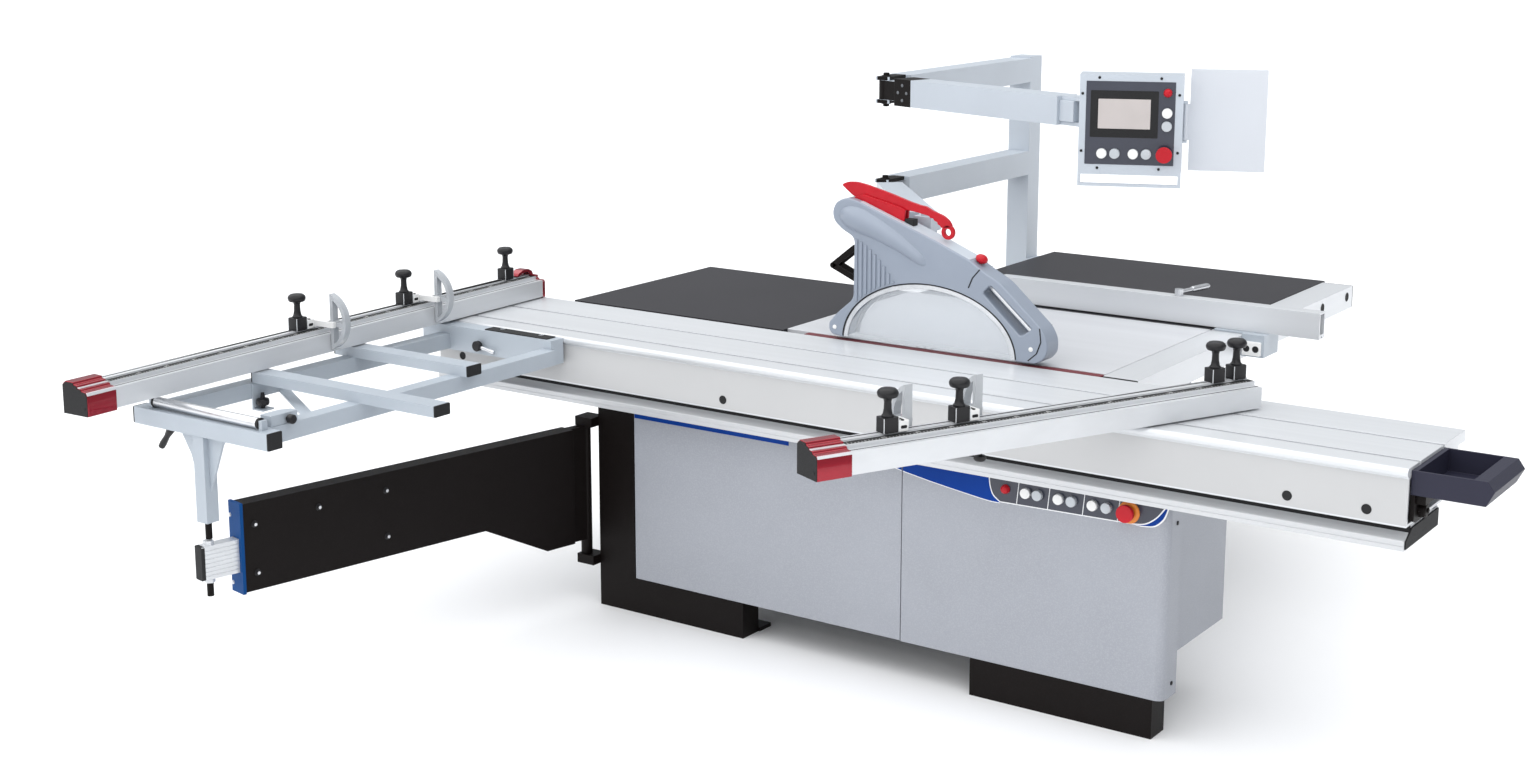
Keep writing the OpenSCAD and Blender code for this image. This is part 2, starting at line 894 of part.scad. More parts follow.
// Black tray table: a flat sheet with a folded rim
module tray(p, q) {
    color("#2b2625") difference() {
        span([p.x, p.y, table_z - tray_h], [q.x, q.y, table_z]);
        span([p.x + tray_edge, p.y + tray_edge, table_z - tray_h - over],
            [q.x - tray_edge, q.y - tray_edge, table_z - tray_t]);
    }
}

module rear_table() {
    tray([iron_x0 - rear_l, blade_y - rear_in + kerf_gap], [iron_x0, iron_y1]);
}

module right_table() {
    tray([right_x0, iron_y1], [min(right_x1, iron_x1), right_y1]);
}

// Extruded guide for the rip fence
module fence_rail() {
    color("#c6cacd") along_y(guide_y0, guide_y0 + guide_l) difference() {
        rect([iron_x1, guide_z1 - guide_h], [guide_x1, guide_z1]);
        rect([iron_x1 + guide_wall, guide_z1 - guide_h + guide_wall],
            [guide_x1 - guide_wall, guide_z1 - guide_wall]);
    }
}

// Red strip on the carriage side of the blade, with a sloped edge for the tilted blade
module kerf_strip() {
    y0 = car_y1 + strip_gap;
    y1 = blade_y - blade_t / 2 - kerf_gap / 2;
    color("#8e1f2a") along_x(strip_x0, iron_x1)
        polygon([[y0, table_z - strip_t], [y1 - strip_t - over, table_z - strip_t],
            [y1, table_z], [y0, table_z]]);
}

// Fork of two plates with its pin, at the end of an arm that points along +X
module fork(pin_r, z0) {
    z1 = z0 + arm_h;
    for (z = [z0, z1 - lug_plate_t])
        span([-reach - over, -lug_half, z], [lug_half, lug_half, z + lug_plate_t]);
    rod_z(0, 0, z0, z1, pin_r);
}

// Barrel that turns on a fork's pin, with its web along +X
module barrel(pin_r, r, z0, web_l) {
    z_low = z0 + lug_plate_t + run_gap;
    z_high = z0 + arm_h - lug_plate_t - run_gap;
    difference() {
        union() {
            rod_z(0, 0, z_low, z_high, r);
            span([0, -web_w / 2, z_low], [web_l, web_w / 2, z_high]);
        }
        rod_z(0, 0, z0, z0 + arm_h, pin_r + pin_gap);
    }
}

// Square arm tube along +X, closed at both ends, with a weep hole below
module arm_tube(x0, x1, z0) {
    edge = [column_wall, column_wall, column_wall];
    difference() {
        span([x0, -column_w / 2, z0], [x1, column_w / 2, z0 + arm_h]);
        span([x0, -column_w / 2, z0] + edge, [x1, column_w / 2, z0 + arm_h] - edge);
        rod_z((x0 + x1) / 2, 0, z0 - over, z0 + column_wall + over, weep_r);
    }
}

// Floor-standing column with two welded arms and their elbow forks
module column() {
    half = column_w / 2;
    base = column_base / 2;
    hole = base - column_hole_in;
    color("#b4bac2") {
        tube_z([column_x - half, column_y - half, 0],
            [column_x + half, column_y + half, column_h], column_wall);
        difference() {
            tube_z([column_x - base, column_y - base, 0], [column_x + base, column_y + base, column_base_t],
                base - half + over);
            for (x = [-hole, hole], y = [-hole, hole])
                rod_z(column_x + x, column_y + y, -over, column_base_t + over, column_hole_r);
        }
        span([column_x + half - over, column_y - half, table_z - bracket_drop - bracket_h],
            [right_x0, column_y + half, table_z - bracket_drop]);
        span([column_x - half, column_y - half, column_h - column_wall],
            [column_x + half, column_y + half, column_h]);
        for (z0 = [upper_z0, lower_z0])
            translate([column_x, elbow_y, 0]) rotate([0, 0, -90]) {
                arm_tube(-inner_arm_l - over, -reach, z0);
                fork(elbow_r, z0);
            }
    }
}

// Jointed arm that carries the control panel
module panel_arm() {
    color("#b4bac2") translate([column_x, elbow_y, 0]) rotate([0, 0, panel_arm_angle]) {
        barrel(elbow_r, barrel_r, upper_z0, reach + over);
        arm_tube(reach, panel_arm_l - reach, upper_z0);
        translate([panel_arm_l, 0, 0]) fork(panel_pin_r, upper_z0);
    }
}

// Jointed arm that carries the guard in a square sleeve at its end
module guard_arm() {
    z1 = lower_z0 + arm_h;
    hole = post_side / 2 + run_gap;
    half = sleeve_side / 2;
    color("#b4bac2") difference() {
        union() {
            translate([column_x, elbow_y, 0]) rotate([0, 0, guard_arm_angle]) {
                barrel(elbow_r, barrel_r, lower_z0, reach + over);
                arm_tube(reach, guard_arm_l - end_reach, lower_z0);
                span([guard_arm_l - end_reach - over, -half / 2, z1 - sleeve_h + over],
                    [guard_arm_l, half / 2, z1 - over]);
            }
            span([guard_px - half, guard_py - half, z1 - sleeve_h], [guard_px + half, guard_py + half, z1]);
        }
        span([guard_px - hole, guard_py - hole, lower_z0], [guard_px + hole, guard_py + hole, z1 + over]);
    }
}

// Side outline of the black arm, deeper beside its hinge
module arm_side() {
    deep = arm_l * arm_deep_share;
    slope = arm_l * arm_slope_share;
    polygon([[-arm_start, arm_deep_z], [-deep, arm_deep_z], [-slope, arm_z0], [plate_t - arm_l, arm_z0],
        [plate_t - arm_l, arm_z1], [-arm_start, arm_z1]]);
}

// Places a piece at the swing arm's hinge and angle
module on_arm() {
    translate([arm_x, arm_y, 0]) rotate([0, 0, arm_angle]) children();
}

// Black hollow arm with its hinge tube
module swing_arm() {
    color("#17130f") on_arm() difference() {
        union() {
            along_x(-arm_t / 2, arm_t / 2) arm_side();
            rod_z(0, 0, arm_tube_z0, arm_z1, arm_tube_r);
            span([-arm_web_w / 2, -arm_start - over, arm_deep_z], [arm_web_w / 2, 0, arm_z1]);
        }
        rod_z(0, 0, arm_tube_z0 - over, arm_z1 + over, arm_pin_r + pin_gap);
        span([arm_wall - arm_t / 2, -arm_l, arm_z0 + arm_wall],
            [arm_t / 2 - arm_wall, -arm_start - arm_wall, arm_z1 - arm_wall]);
    }
}

// Blue plate that closes the arm and guides the telescopic bar
module arm_end_plate() {
    half = arm_t / 2 + plate_edge / 2;
    hole = bar_w / 2 + run_gap;
    color("#1d4fb0") on_arm() difference() {
        span([-half, -arm_l, arm_z0 - plate_edge], [half, plate_t - arm_l, arm_z1 + plate_edge]);
        span([-hole, -arm_l - over, bar_z0 - run_gap],
            [hole, plate_t - arm_l + over, bar_z0 + bar_h + run_gap]);
    }
}

// Ribbed telescopic bar with its end plate, nuts and the lower end of the leg rod
module arm_extension() {
    y0 = -arm_l - bar_out;
    pitch = bar_h / fin_n;
    color("#b5babf") on_arm() {
        difference() {
            span([-bar_w / 2, y0, bar_z0], [bar_w / 2, -bar_start, bar_z0 + bar_h]);
            for (i = [1:fin_n - 1], side = [-1, 1])
                translate([side * bar_w / 2 - fin_d / 2, y0 - over, bar_z0 + i * pitch - fin_d / 2])
                    cube([fin_d, arm_l + bar_out, fin_d]);
        }
        rod_z(0, y0 + rod_back, bar_z0 - rod_drop, bar_z0, rod_r);
        for (z = [bar_z0 - nut_h, bar_z0 + bar_h])
            translate([0, y0 + rod_back, z]) cylinder(r = nut_r, h = nut_h, $fn = 6);
    }
    color("#1b1715") on_arm() span([-bar_w / 2, y0 - plate_t, bar_z0], [bar_w / 2, y0, bar_z0 + bar_h]);
}

// Welded outrigger: carriage beam, side tubes, end bar, cross bars, roller axle and leg
module outrigger_frame() {
    reach_y = end_y1 - out_y0;
    leg_y = roller_y;
    color("#b9c0c7") {
        span([out_x0, out_y0, out_z1 - out_beam_h], [out_x1, out_y1, out_z1]);
        for (x = [out_side_x, out_far_x])
            span([x - tube_w, end_y1 - over, tube_z0], [x, out_y0 + over, tube_z1]);
        span([end_x0, end_y0, tube_z0], [end_x1, end_y1, tube_z1]);
        for (b = [[bar_near_share, bar_near_x0, bar_near_x1], [bar_far_share, bar_far_x0, bar_far_x1]]) {
            y = out_y0 + reach_y * b[0];
            span([b[1], y - bar_top_w / 2, tube_z1], [b[2], y + bar_top_w / 2, table_z]);
        }
        for (x = [roller_x0 - run_gap - holder_t, roller_x1 + run_gap])
            span([x, roller_y - holder_w / 2, tube_z1],
                [x + holder_t, roller_y + holder_w / 2, roller_z + holder_w / 2]);
        rod_x(roller_y, roller_z, roller_x0 - holder_t, roller_x1 + holder_t, axle_r);
        span([leg_x - leg_w / 2, leg_y - leg_w / 2, leg_z0],
            [leg_x + leg_w / 2, leg_y + leg_w / 2, tube_z0]);
        rod_z(leg_x, leg_y, bar_z0 + bar_h + nut_h + rod_gap, leg_z0, rod_r);
        for (side = [-1, 1])
            along_y(leg_y - gusset_t / 2, leg_y + gusset_t / 2)
                polygon([[leg_x + side * leg_w / 2, tube_z0],
                    [leg_x + side * (leg_w / 2 + gusset_l), tube_z0],
                    [leg_x + side * leg_w / 2, tube_z0 - gusset_h]]);
        rod_z(pivot_x, pivot_y, out_z1, fence_z0 + pivot_rise, pivot_r);
    }
}

// Free-turning roller on the end bar
module outrigger_roller() {
    color("#d9dcde") difference() {
        rod_x(roller_y, roller_z, roller_x0, roller_x1, roller_r);
        rod_x(roller_y, roller_z, roller_x0 - over, roller_x1 + over, axle_r + pin_gap);
    }
}

// Stepped section of a fence, grown by an edge for its end cap
module fence_section(edge) {
    half = fence_w / 2 + edge;
    step = half - fence_w * step_share;
    back = half - fence_w * back_share;
    mid_h = fence_h - step_h + edge;
    polygon([[-half, -edge], [half, -edge], [half, ledge_h + edge], [step, ledge_h + edge],
        [step, mid_h], [back, mid_h], [back, fence_h + edge], [-half, fence_h + edge]]);
}

// Hollow fence from y0 to y1, its pivot pad bored from below
module fence_bar(y0, y1, pad_z0) {
    difference() {
        union() {
            along_y(y0, y1) difference() {
                fence_section(0);
                rect([-cavity_w / 2, cavity_z], [cavity_w / 2, cavity_z + cavity_h]);
            }
            rod_z(0, 0, pad_z0, 0, pivot_pad_r);
        }
        rod_z(0, 0, pad_z0 - over, cavity_z, pivot_r + pin_gap);
    }
}

module on_crosscut() {
    translate([pivot_x, pivot_y, fence_z0]) rotate([0, 0, crosscut_angle]) children();
}

module on_mitre() {
    translate([mitre_pivot_x, mitre_pivot_y, fence_z0]) rotate([0, 0, mitre_angle]) children();
}

// Clamp block with its stem and mushroom knob, standing on the fence's back
module clamp_knob(x, y) {
    z0 = fence_h + run_gap;
    span([x - block_w / 2, y - block_l / 2, z0], [x + block_w / 2, y + block_l / 2, z0 + block_h]);
    rod_z(x, y, z0 + block_h, z0 + block_h + stem_h, stem_r);
    translate([x, y, z0 + block_h + stem_h]) cylinder(r1 = knob_r - stem_r / 2, r2 = knob_r, h = knob_h / 2);
    translate([x, y, z0 + block_h + stem_h + knob_h / 2])
        cylinder(r1 = knob_r, r2 = knob_r - stem_r, h = knob_h / 2);
}

// Cross-cut fence with its clamp knob and red hook
module crosscut_fence() {
    on_crosscut() {
        color("#c3c8cd") fence_bar(crosscut_back - crosscut_l, crosscut_back, out_z1 + run_gap - fence_z0);
        color("#221d1c") translate([0, 0, -run_gap]) clamp_knob(block_x, crosscut_clamp_y);
        color("#c8202c") along_y(crosscut_back, crosscut_back + hook_t) translate([0, -hook_drop])
            fence_section(0);
    }
}

// Telescopic end of the cross-cut fence with its red cap
module crosscut_extension() {
    y1 = crosscut_back - crosscut_l;
    on_crosscut() {
        color("#c3c8cd") span([run_gap - cavity_w / 2, y1 - run_gap, cavity_z + run_gap],
            [cavity_w / 2 - run_gap, y1 + extension_l, cavity_z + cavity_h - run_gap]);
        color("#9c1426") along_y(y1 - cap_l, y1 - run_gap) fence_section(cap_edge);
    }
}

// Mitre fence with its red end cap and pivot knob, turning on a pin in the far T-slot
module mitre_fence() {
    y1 = mitre_back - mitre_l;
    pad_z0 = run_gap - fence_lift;
    on_mitre() {
        color("#c3c8cd") along_y(y1, mitre_back) difference() {
            fence_section(0);
            rect([-cavity_w / 2, cavity_z], [cavity_w / 2, cavity_z + cavity_h]);
        }
        color("#c3c8cd") rod_z(0, 0, pad_z0, 0, pivot_pad_r);
        color("#c3c8cd") rod_z(0, 0, pad_z0 - slot_lip, pad_z0, mitre_pin_r);
        color("#221d1c") translate([0, 0, -run_gap]) {
            clamp_knob(block_x, 0);
            clamp_knob(block_x, mitre_knob_y);
        }
        color("#9c1426") along_y(y1 - cap_l, y1) fence_section(cap_edge / 2);
    }
}

// Sliding stop: clamp block, reader box and the pin of its blade, on the side given
module fence_stop(y, side) {
    z0 = fence_h + run_gap;
    y1 = y + block_l / 2 + reader_l;
    color("#221d1c") clamp_knob(block_x, y);
    color("#d8dadb") {
        span([block_x - block_w / 2, y + block_l / 2, z0], [block_x + block_w / 2, y1, z0 + reader_h]);
        span([min(block_x, side * (hub_x + hub_r)), y1, hub_z - cross_h / 2],
            [max(block_x, side * (hub_x + hub_r)), y1 + cross_l, hub_z + cross_h / 2]);
        rod_y(side * hub_x, hub_z, y1 + cross_l, y1 + cross_l + ring_t + 2 * run_gap, pin_r);
    }
}

// Outline of a stop blade: a D-shaped ring with a bored hub, bulging away from the fence face
module ring_outline() {
    x0 = fence_w / 2 + ring_gap;
    zc = hub_z + ring_h * ring_lift_share;
    xc = x0 + ring_w - ring_sag_r;
    difference() {
        union() {
            difference() {
                intersection() {
                    translate([xc, zc]) circle(ring_sag_r, $fn = 96);
                    rect([x0, zc - ring_h], [x0 + ring_w + over, zc + ring_h]);
                }
                intersection() {
                    translate([xc, zc]) circle(ring_sag_r - ring_bar, $fn = 96);
                    rect([x0 + ring_bar, zc - ring_h], [x0 + ring_w, zc + ring_h]);
                }
            }
            translate([hub_x, hub_z]) circle(hub_r);
            rect([hub_x, hub_z - spoke_h / 2], [x0 + ring_w - ring_bar / 2, hub_z + spoke_h / 2]);
        }
        translate([hub_x, hub_z]) circle(pin_r + pin_gap);
    }
}

// Stop blade beside the stop at y, on the side given
module stop_blade(y, side) {
    y0 = y + block_l / 2 + reader_l + cross_l + run_gap;
    color("#cdd1d3") mirror([side < 0 ? 1 : 0, 0, 0]) along_y(y0, y0 + ring_t) ring_outline();
}

// Casting that rides on the fence rail
module rip_head() {
    y0 = rip_y0 - head_set;
    ym = rip_y0 + rip_t / 2;
    color("#c4c8cb") {
        span([guide_x1 + run_gap, y0, tongue_z1 - head_h], [guide_x1 + head_l, y0 + head_w, tongue_z1]);
        span([guide_x1 - tongue_l, ym - tongue_w / 2, guide_z1 + run_gap],
            [guide_x1 + over, ym + tongue_w / 2, tongue_z1]);
        span([guide_x1 - tongue_l, ym - key_w / 2 + run_gap, tongue_z1 - over],
            [guide_x1 + head_l, ym + key_w / 2 - run_gap, tongue_z1 + key_h - run_gap]);
    }
}

// Rip fence section, slotted for the head's key, with the lever's stud
module rip_fence() {
    ym = rip_y0 + rip_t / 2;
    color("#c9cdd0") {
        along_x(rip_x1 - rip_l, rip_x1) difference() {
            rect([rip_y0, rip_z0], [rip_y0 + rip_t, rip_z0 + rip_h]);
            rect([ym - key_w / 2, rip_z0 - over], [ym + key_w / 2, rip_z0 + key_h]);
            rect([rip_y0 + guide_wall, rip_z0 + key_h + guide_wall],
                [rip_y0 + rip_t - guide_wall, rip_z0 + rip_h - guide_wall]);
        }
        rod_z(lever_x, ym, rip_z0 + rip_h, rip_z0 + rip_h + stud_h, stud_r);
    }
}

// Clamp lever on top of the rip fence
module rip_lever() {
    z0 = rip_z0 + rip_h + run_gap;
    color("#8a8f93") translate([lever_x, rip_y0 + rip_t / 2, z0]) rotate([0, 0, lever_turn]) difference() {
        union() {
            cylinder(r = lever_r, h = lever_h);
            rod_y(0, lever_h / 2, 0, lever_l, lever_rod_r);
        }
        translate([0, 0, -over]) cylinder(r = stud_r + pin_gap, h = stud_h + over);
    }
}

// Tilting frame: two end plates tied at the back, with lugs and guide rods
module saw_trunnion() {
    z1 = table_z - trunnion_drop;
    z0 = z1 - trunnion_h;
    y0 = blade_y + trunnion_in;
    tie_z = z0 + trunnion_h * tie_z_share;
    score_z = table_z - score_drop - score_r;
    color("#4a4d50") {
        for (side = [-1, 1]) {
            x = blade_x + side * (trunnion_half - trunnion_t / 2);
            rod = blade_x + side * (trunnion_half - trunnion_t - guide_rod_in);
            span([x - trunnion_t / 2, y0, z0], [x + trunnion_t / 2, y0 + trunnion_w, z1]);
            for (z = [z0, z1 - guide_lug_t])
                span([min(rod - guide_rod_r, x), blade_y + guide_rod_y - guide_rod_r, z],
                    [max(rod + guide_rod_r, x), blade_y + guide_rod_y + guide_rod_r, z + guide_lug_t]);
            rod_z(rod, blade_y + guide_rod_y, z0, z1, guide_rod_r);
        }
        span([blade_x - trunnion_half, y0 + trunnion_w - tie_w, tie_z],
            [blade_x + trunnion_half, y0 + trunnion_w, tie_z + tie_w]);
        difference() {
            span([score_x - score_block, blade_y + score_y0, score_z - score_block],
                [blade_x + trunnion_half - trunnion_t + over, blade_y + score_y1, score_z + score_block]);
            rod_y(score_x - score_block / 2, score_z, blade_y, blade_y + score_y1 + over,
                score_axle_r + pin_gap);
        }
    }
}

// Lifting carrier: arbor housing, sliders on the guide rods, plate and riving knife
module arbor_carrier() {
    y1 = blade_y + carrier_y0;
    z_low = blade_z - motor_drop - carrier_low;
    yoke_y0 = blade_y + housing_y0 + housing_r;
    slider_z = blade_z - slider_drop;
    slider_y1 = blade_y + guide_rod_y + slider_w / 2;
    rod_out = trunnion_half - trunnion_t - guide_rod_in;
    color("#6a6d70") difference() {
        union() {
            rod_y(blade_x, blade_z, blade_y + housing_y0, blade_y + housing_y1, housing_r);
            span([blade_x - housing_r, y1, z_low],
                [blade_x + housing_r, y1 + carrier_t, blade_z + carrier_top]);
            span([blade_x - yoke_w, yoke_y0, blade_z - yoke_h],
                [blade_x + yoke_w, blade_y + housing_y1, blade_z + yoke_h]);
            for (x = [blade_x - yoke_w, blade_x + yoke_w - yoke_t])
                span([x, yoke_y0, slider_z + over], [x + yoke_t, y1 + over, blade_z + yoke_h]);
            for (side = [-1, 1])
                span([blade_x + side * rod_out - slider_w / 2, y1, slider_z],
                    [blade_x + side * rod_out + slider_w / 2, slider_y1, slider_z + slider_h]);
            span([blade_x - rod_out, y1, slider_z], [blade_x + rod_out, y1 + carrier_t, slider_z + slider_h]);
            span([blade_x - blade_r - knife_gap - knife_w, blade_y - knife_t / 2, slider_z],
                [blade_x - blade_r - knife_gap - knife_low, y1 + over, slider_z + knife_arm_h]);
        }
        rod_y(blade_x, blade_z, blade_y, y1, arbor_r + pin_gap);
        rod_y(blade_x, blade_z - motor_drop, y1 - over, y1 + carrier_t + over, motor_shaft_r + run_gap);
        for (side = [-1, 1])
            rod_z(blade_x + side * rod_out, blade_y + guide_rod_y,
                slider_z - over, slider_z + slider_h + over, guide_rod_r + pin_gap);
    }
    color("#8b8f92") along_y(blade_y - knife_t / 2, blade_y + knife_t / 2) intersection() {
        difference() {
            translate([blade_x, blade_z]) circle(blade_r + knife_gap + knife_w);
            translate([blade_x, blade_z]) circle(blade_r + knife_gap);
        }
        rect([blade_x - blade_r - knife_gap - knife_w, slider_z + knife_arm_h],
            [blade_x - knife_w, table_z + blade_show - knife_top]);
    }
}

// Motor casing hung on the carrier
module motor() {
    z = blade_z - motor_drop;
    y0 = blade_y + carrier_y0 + carrier_t;
    color("#54626e") difference() {
        rod_y(blade_x, z, y0, y0 + motor_l, motor_r);
        rod_y(blade_x, z, y0 - over, y0 + motor_l / 2, motor_shaft_r + pin_gap);
    }
}

// Motor shaft with its pulley
module motor_pulley() {
    z = blade_z - motor_drop;
    y0 = blade_y + pulley_y0;
    color("#7d8184") {
        rod_y(blade_x, z, y0, y0 + pulley_w, motor_pulley_r);
        rod_y(blade_x, z, y0 + pulley_w, blade_y + carrier_y0 + carrier_t + motor_l / 2 - over,
            motor_shaft_r);
    }
}

// Points of the belt's side outline, grown by an edge beyond the pulleys
function belt_points(edge) = concat(
    [for (i = [0:belt_n]) let (a = belt_lean + i * belt_top_turn / belt_n)
        (pulley_r + edge) * [cos(a), sin(a)]],
    [for (i = [0:belt_n]) let (a = 180 - belt_lean + i * belt_low_turn / belt_n)
        (motor_pulley_r + edge) * [cos(a), sin(a)] - [0, motor_drop]]);

// Flat drive belt round the two pulleys
module drive_belt() {
    y0 = blade_y + pulley_y0 + (pulley_w - belt_w) / 2;
    color("#1c1c1c") along_y(y0, y0 + belt_w) translate([blade_x, blade_z]) difference() {
        polygon(belt_points(belt_t + run_gap));
        polygon(belt_points(run_gap));
    }
}

// Main blade with its arbor, flanges and pulley
module main_blade() {
    color("#c0c4c7") {
        along_y(blade_y - blade_t / 2, blade_y + blade_t / 2) translate([blade_x, blade_z]) {
            circle(blade_ring_r, $fn = 96);
            for (i = [0:teeth_n - 1])
                rotate(i * 360 / teeth_n) rect([blade_ring_r - tooth_h, -tooth_w], [blade_r, tooth_w]);
        }
        rod_y(blade_x, blade_z, blade_y - flange_nut, blade_y + housing_y0 - run_gap, flange_r);
        rod_y(blade_x, blade_z, blade_y + housing_y0 - over, blade_y + pulley_y0 + pulley_w, arbor_r);
        rod_y(blade_x, blade_z, blade_y + pulley_y0, blade_y + pulley_y0 + pulley_w, pulley_r);
    }
}

// Scoring blade on its own short axle
module scoring_blade() {
    x = score_x - score_block / 2;
    z = table_z - score_drop - score_r;
    color("#c0c4c7") {
        rod_y(x, z, blade_y - score_t / 2, blade_y + score_t / 2, score_r);
        rod_y(x, z, blade_y, blade_y + score_y0 - run_gap, score_axle_r + over);
        rod_y(x, z, blade_y + score_y0 - over, blade_y + score_y1, score_axle_r);
    }
}

// A share of the guard's length and height as a point beside the blade
function guard_at(s) = [guard_x + s.x * guard_l, guard_z0 + s.y * guard_h];

// A share of the push stick's length and height as a point above the guard
function stick_at(s) = guard_at(stick_from_shares) + [s.x * stick_l, s.y * stick_h];

// Arch of the clear window, shrunk by an edge
module arch(edge) {
    c = guard_at([arch_x_share, 0]);
    w = guard_l * arch_w_share - edge;
    h = guard_h * arch_top_share - edge;
    r = (w * w + h * h) / (2 * h);
    intersection() {
        translate([c.x, c.y + h - r]) circle(r, $fn = 96);
        rect([c.x - w, c.y + edge], [c.x + w, c.y + h + over]);
    }
}

// Grey hood with its duct, hollow for the blade, and the square post that it lifts on
module guard_body() {
    y0 = blade_y - guard_w / 2;
    y1 = blade_y + guard_w / 2;
    a = guard_at(duct_from_shares);
    b = guard_at(duct_to_shares);
    tilt = atan2(b.x - a.x, b.y - a.y);
    run = norm(b - a);
    post_z = guard_at([0, post_low_share]).y;
    half = post_side / 2;
    slot = stick_t / 2 + run_gap;
    color("#9aa1ab") difference() {
        union() {
            along_y(y0, y1) polygon([for (s = guard_shares) guard_at(s)]);
            translate([a.x, blade_y, a.y]) rotate([0, tilt, 0]) rotate_extrude() intersection() {
                union() {
                    circle(duct_r);
                    polygon([[0, 0], [duct_r, 0], [duct_r * duct_end_share, run], [0, run]]);
                }
                rect([0, -duct_r - over], [duct_r + over, run + over]);
            }
            span([guard_px - half, y1 - over, post_z],
                [guard_px + half, guard_py + half, post_z + foot_plate_t]);
            span([guard_px - half, guard_py - half, post_z],
                [guard_px + half, guard_py + half, guard_z0 + post_top]);
        }
        along_y(y0 + guard_wall, y1 - guard_wall) arch(0);
        along_y(y0 - over, y1 + over) arch(guard_wall);
        along_y(y0 - over, y1 + over) polygon([for (s = slot_shares) guard_at(s)]);
    }
    color("#b01c28") difference() {
        along_y(blade_y - slot - holder_edge, blade_y + slot + holder_edge)
            polygon([for (s = holder_shares) stick_at(s)]);
        along_y(blade_y - slot, blade_y + slot) polygon([for (s = holder_slot_shares) stick_at(s)]);
    }
}

// Clear plates inside both side walls of the hood
module guard_window() {
    y0 = blade_y - guard_w / 2 + guard_wall;
    y1 = blade_y + guard_w / 2 - guard_wall;
    color("#d8e4ec") for (y = [y0, y1 - window_t])
        along_y(y, y + window_t) arch(run_gap);
}

// Red push stick with a finger ring, lying in a slotted holder on the guard
module push_stick() {
    y0 = blade_y - stick_t / 2;
    ring = stick_at(stick_ring_shares);
    color("#c8202c") difference() {
        union() {
            along_y(y0, y0 + stick_t) polygon([for (s = stick_shares) stick_at(s)]);
            rod_y(ring.x, ring.y, y0, y0 + stick_t, stick_ring_r * 2);
        }
        rod_y(ring.x, ring.y, y0 - over, y0 + stick_t + over, stick_ring_r);
    }
}

// Places a piece at the panel's swivel and direction
module on_panel() {
    translate([panel_px, panel_py, 0]) rotate([0, 0, panel_angle]) children();
}

// A share across and down the panel face as a place in the panel's own frame
function panel_at(s) = [panel_left + s.x * panel_w, panel_z0 + (1 - s.y) * panel_h];

// Panel box with its swivel barrel, loop handle and flap lugs
module panel_box() {
    x1 = panel_left + panel_w;
    y1 = panel_front + panel_d;
    edge = [panel_wall, panel_wall, panel_wall];
    zc = panel_z0 + panel_h / 2;
    lamp = panel_at(panel_lamp_shares);
    color("#c9ced4") on_panel() {
        rotate([0, 0, -90]) barrel(panel_pin_r, panel_barrel_r, upper_z0, panel_gap + over);
        difference() {
            span([panel_left, panel_front, panel_z0], [x1, y1, panel_z0 + panel_h]);
            span([panel_left, panel_front, panel_z0] + edge, [x1, y1, panel_z0 + panel_h] - edge);
            for (s = concat(panel_button_shares, [panel_stop_shares])) {
                p = panel_at(s);
                rod_y(p.x, p.y, panel_front - over, panel_front + stem_in, small_r * stem_share + run_gap);
            }
        }
        along_y(panel_front, panel_front + loop_t) difference() {
            rect([panel_left, panel_z0 - loop_h], [x1, panel_z0]);
            rect([panel_left + loop_bar, panel_z0 - loop_h + loop_bar], [x1 - loop_bar, panel_z0 - loop_bar]);
        }
        for (z = [zc - flap_half - flap_lug, zc + flap_half])
            span([x1 - over, hinge_y - flap_barrel_r, z],
                [hinge_x + flap_barrel_r, hinge_y + flap_barrel_r, z + flap_lug]);
        rod_z(hinge_x, hinge_y, zc - flap_half - flap_lug, zc + flap_half + flap_lug, flap_pin_r);
    }
    color("#c01525") on_panel() rod_y(lamp.x, lamp.y, panel_front - lamp_up, panel_front, lamp_r);
}

// Flat side flap on a hinge barrel
module panel_flap() {
    x0 = hinge_x + flap_barrel_r + flap_gap;
    zc = panel_z0 + panel_h / 2;
    half = flap_half - run_gap;
    color("#c9ced4") on_panel() difference() {
        union() {
            rod_z(hinge_x, hinge_y, zc - half, zc + half, flap_barrel_r);
            span([hinge_x, hinge_y - flap_t / 2, zc - half], [x0 + over, hinge_y + flap_t / 2, zc + half]);
            span([x0, hinge_y - flap_t / 2, panel_z0],
                [x0 + flap_w, hinge_y + flap_t / 2, panel_z0 + panel_h + flap_over]);
        }
        rod_z(hinge_x, hinge_y, zc - half - over, zc + half + over, flap_pin_r + pin_gap);
    }
}

// Push button in a face at y: a stem through the face and a cap in front of it
module push_button(x, y, z, r, stem_r) {
    rod_y(x, z, y - button_up, y - button_travel - 2 * run_gap, r);
    rod_y(x, z, y - button_travel - over, y + stem_in, stem_r);
}

// Emergency stop: stem and mushroom head
module mushroom(x, y, z, stem_r) {
    rod_y(x, z, y - stop_up + stop_cap - over, y + stem_in, stem_r);
    rod_y(x, z, y - stop_up, y - stop_up + stop_cap, stop_r);
}

module cabinet_button(i) {
    color(i % 2 == 0 ? "#eceae4" : "#c3c6c9")
        push_button(cover_at(cabinet_button_shares[i]), cab_y0, button_z, button_r, button_r * stem_share);
}

module cabinet_stop() {
    color("#d5301f") mushroom(cover_at(cabinet_stop_share), cab_y0, button_z, button_r * stem_share);
}

module panel_button(i) {
    p = panel_at(panel_button_shares[i]);
    color(i % 2 == 0 ? "#eceae4" : "#c3c6c9") on_panel()
        push_button(p.x, panel_front, p.y, small_r, small_r * stem_share);
}

module panel_stop() {
    p = panel_at(panel_stop_shares);
    color("#d5301f") on_panel() mushroom(p.x, panel_front, p.y, small_r * stem_share);
}

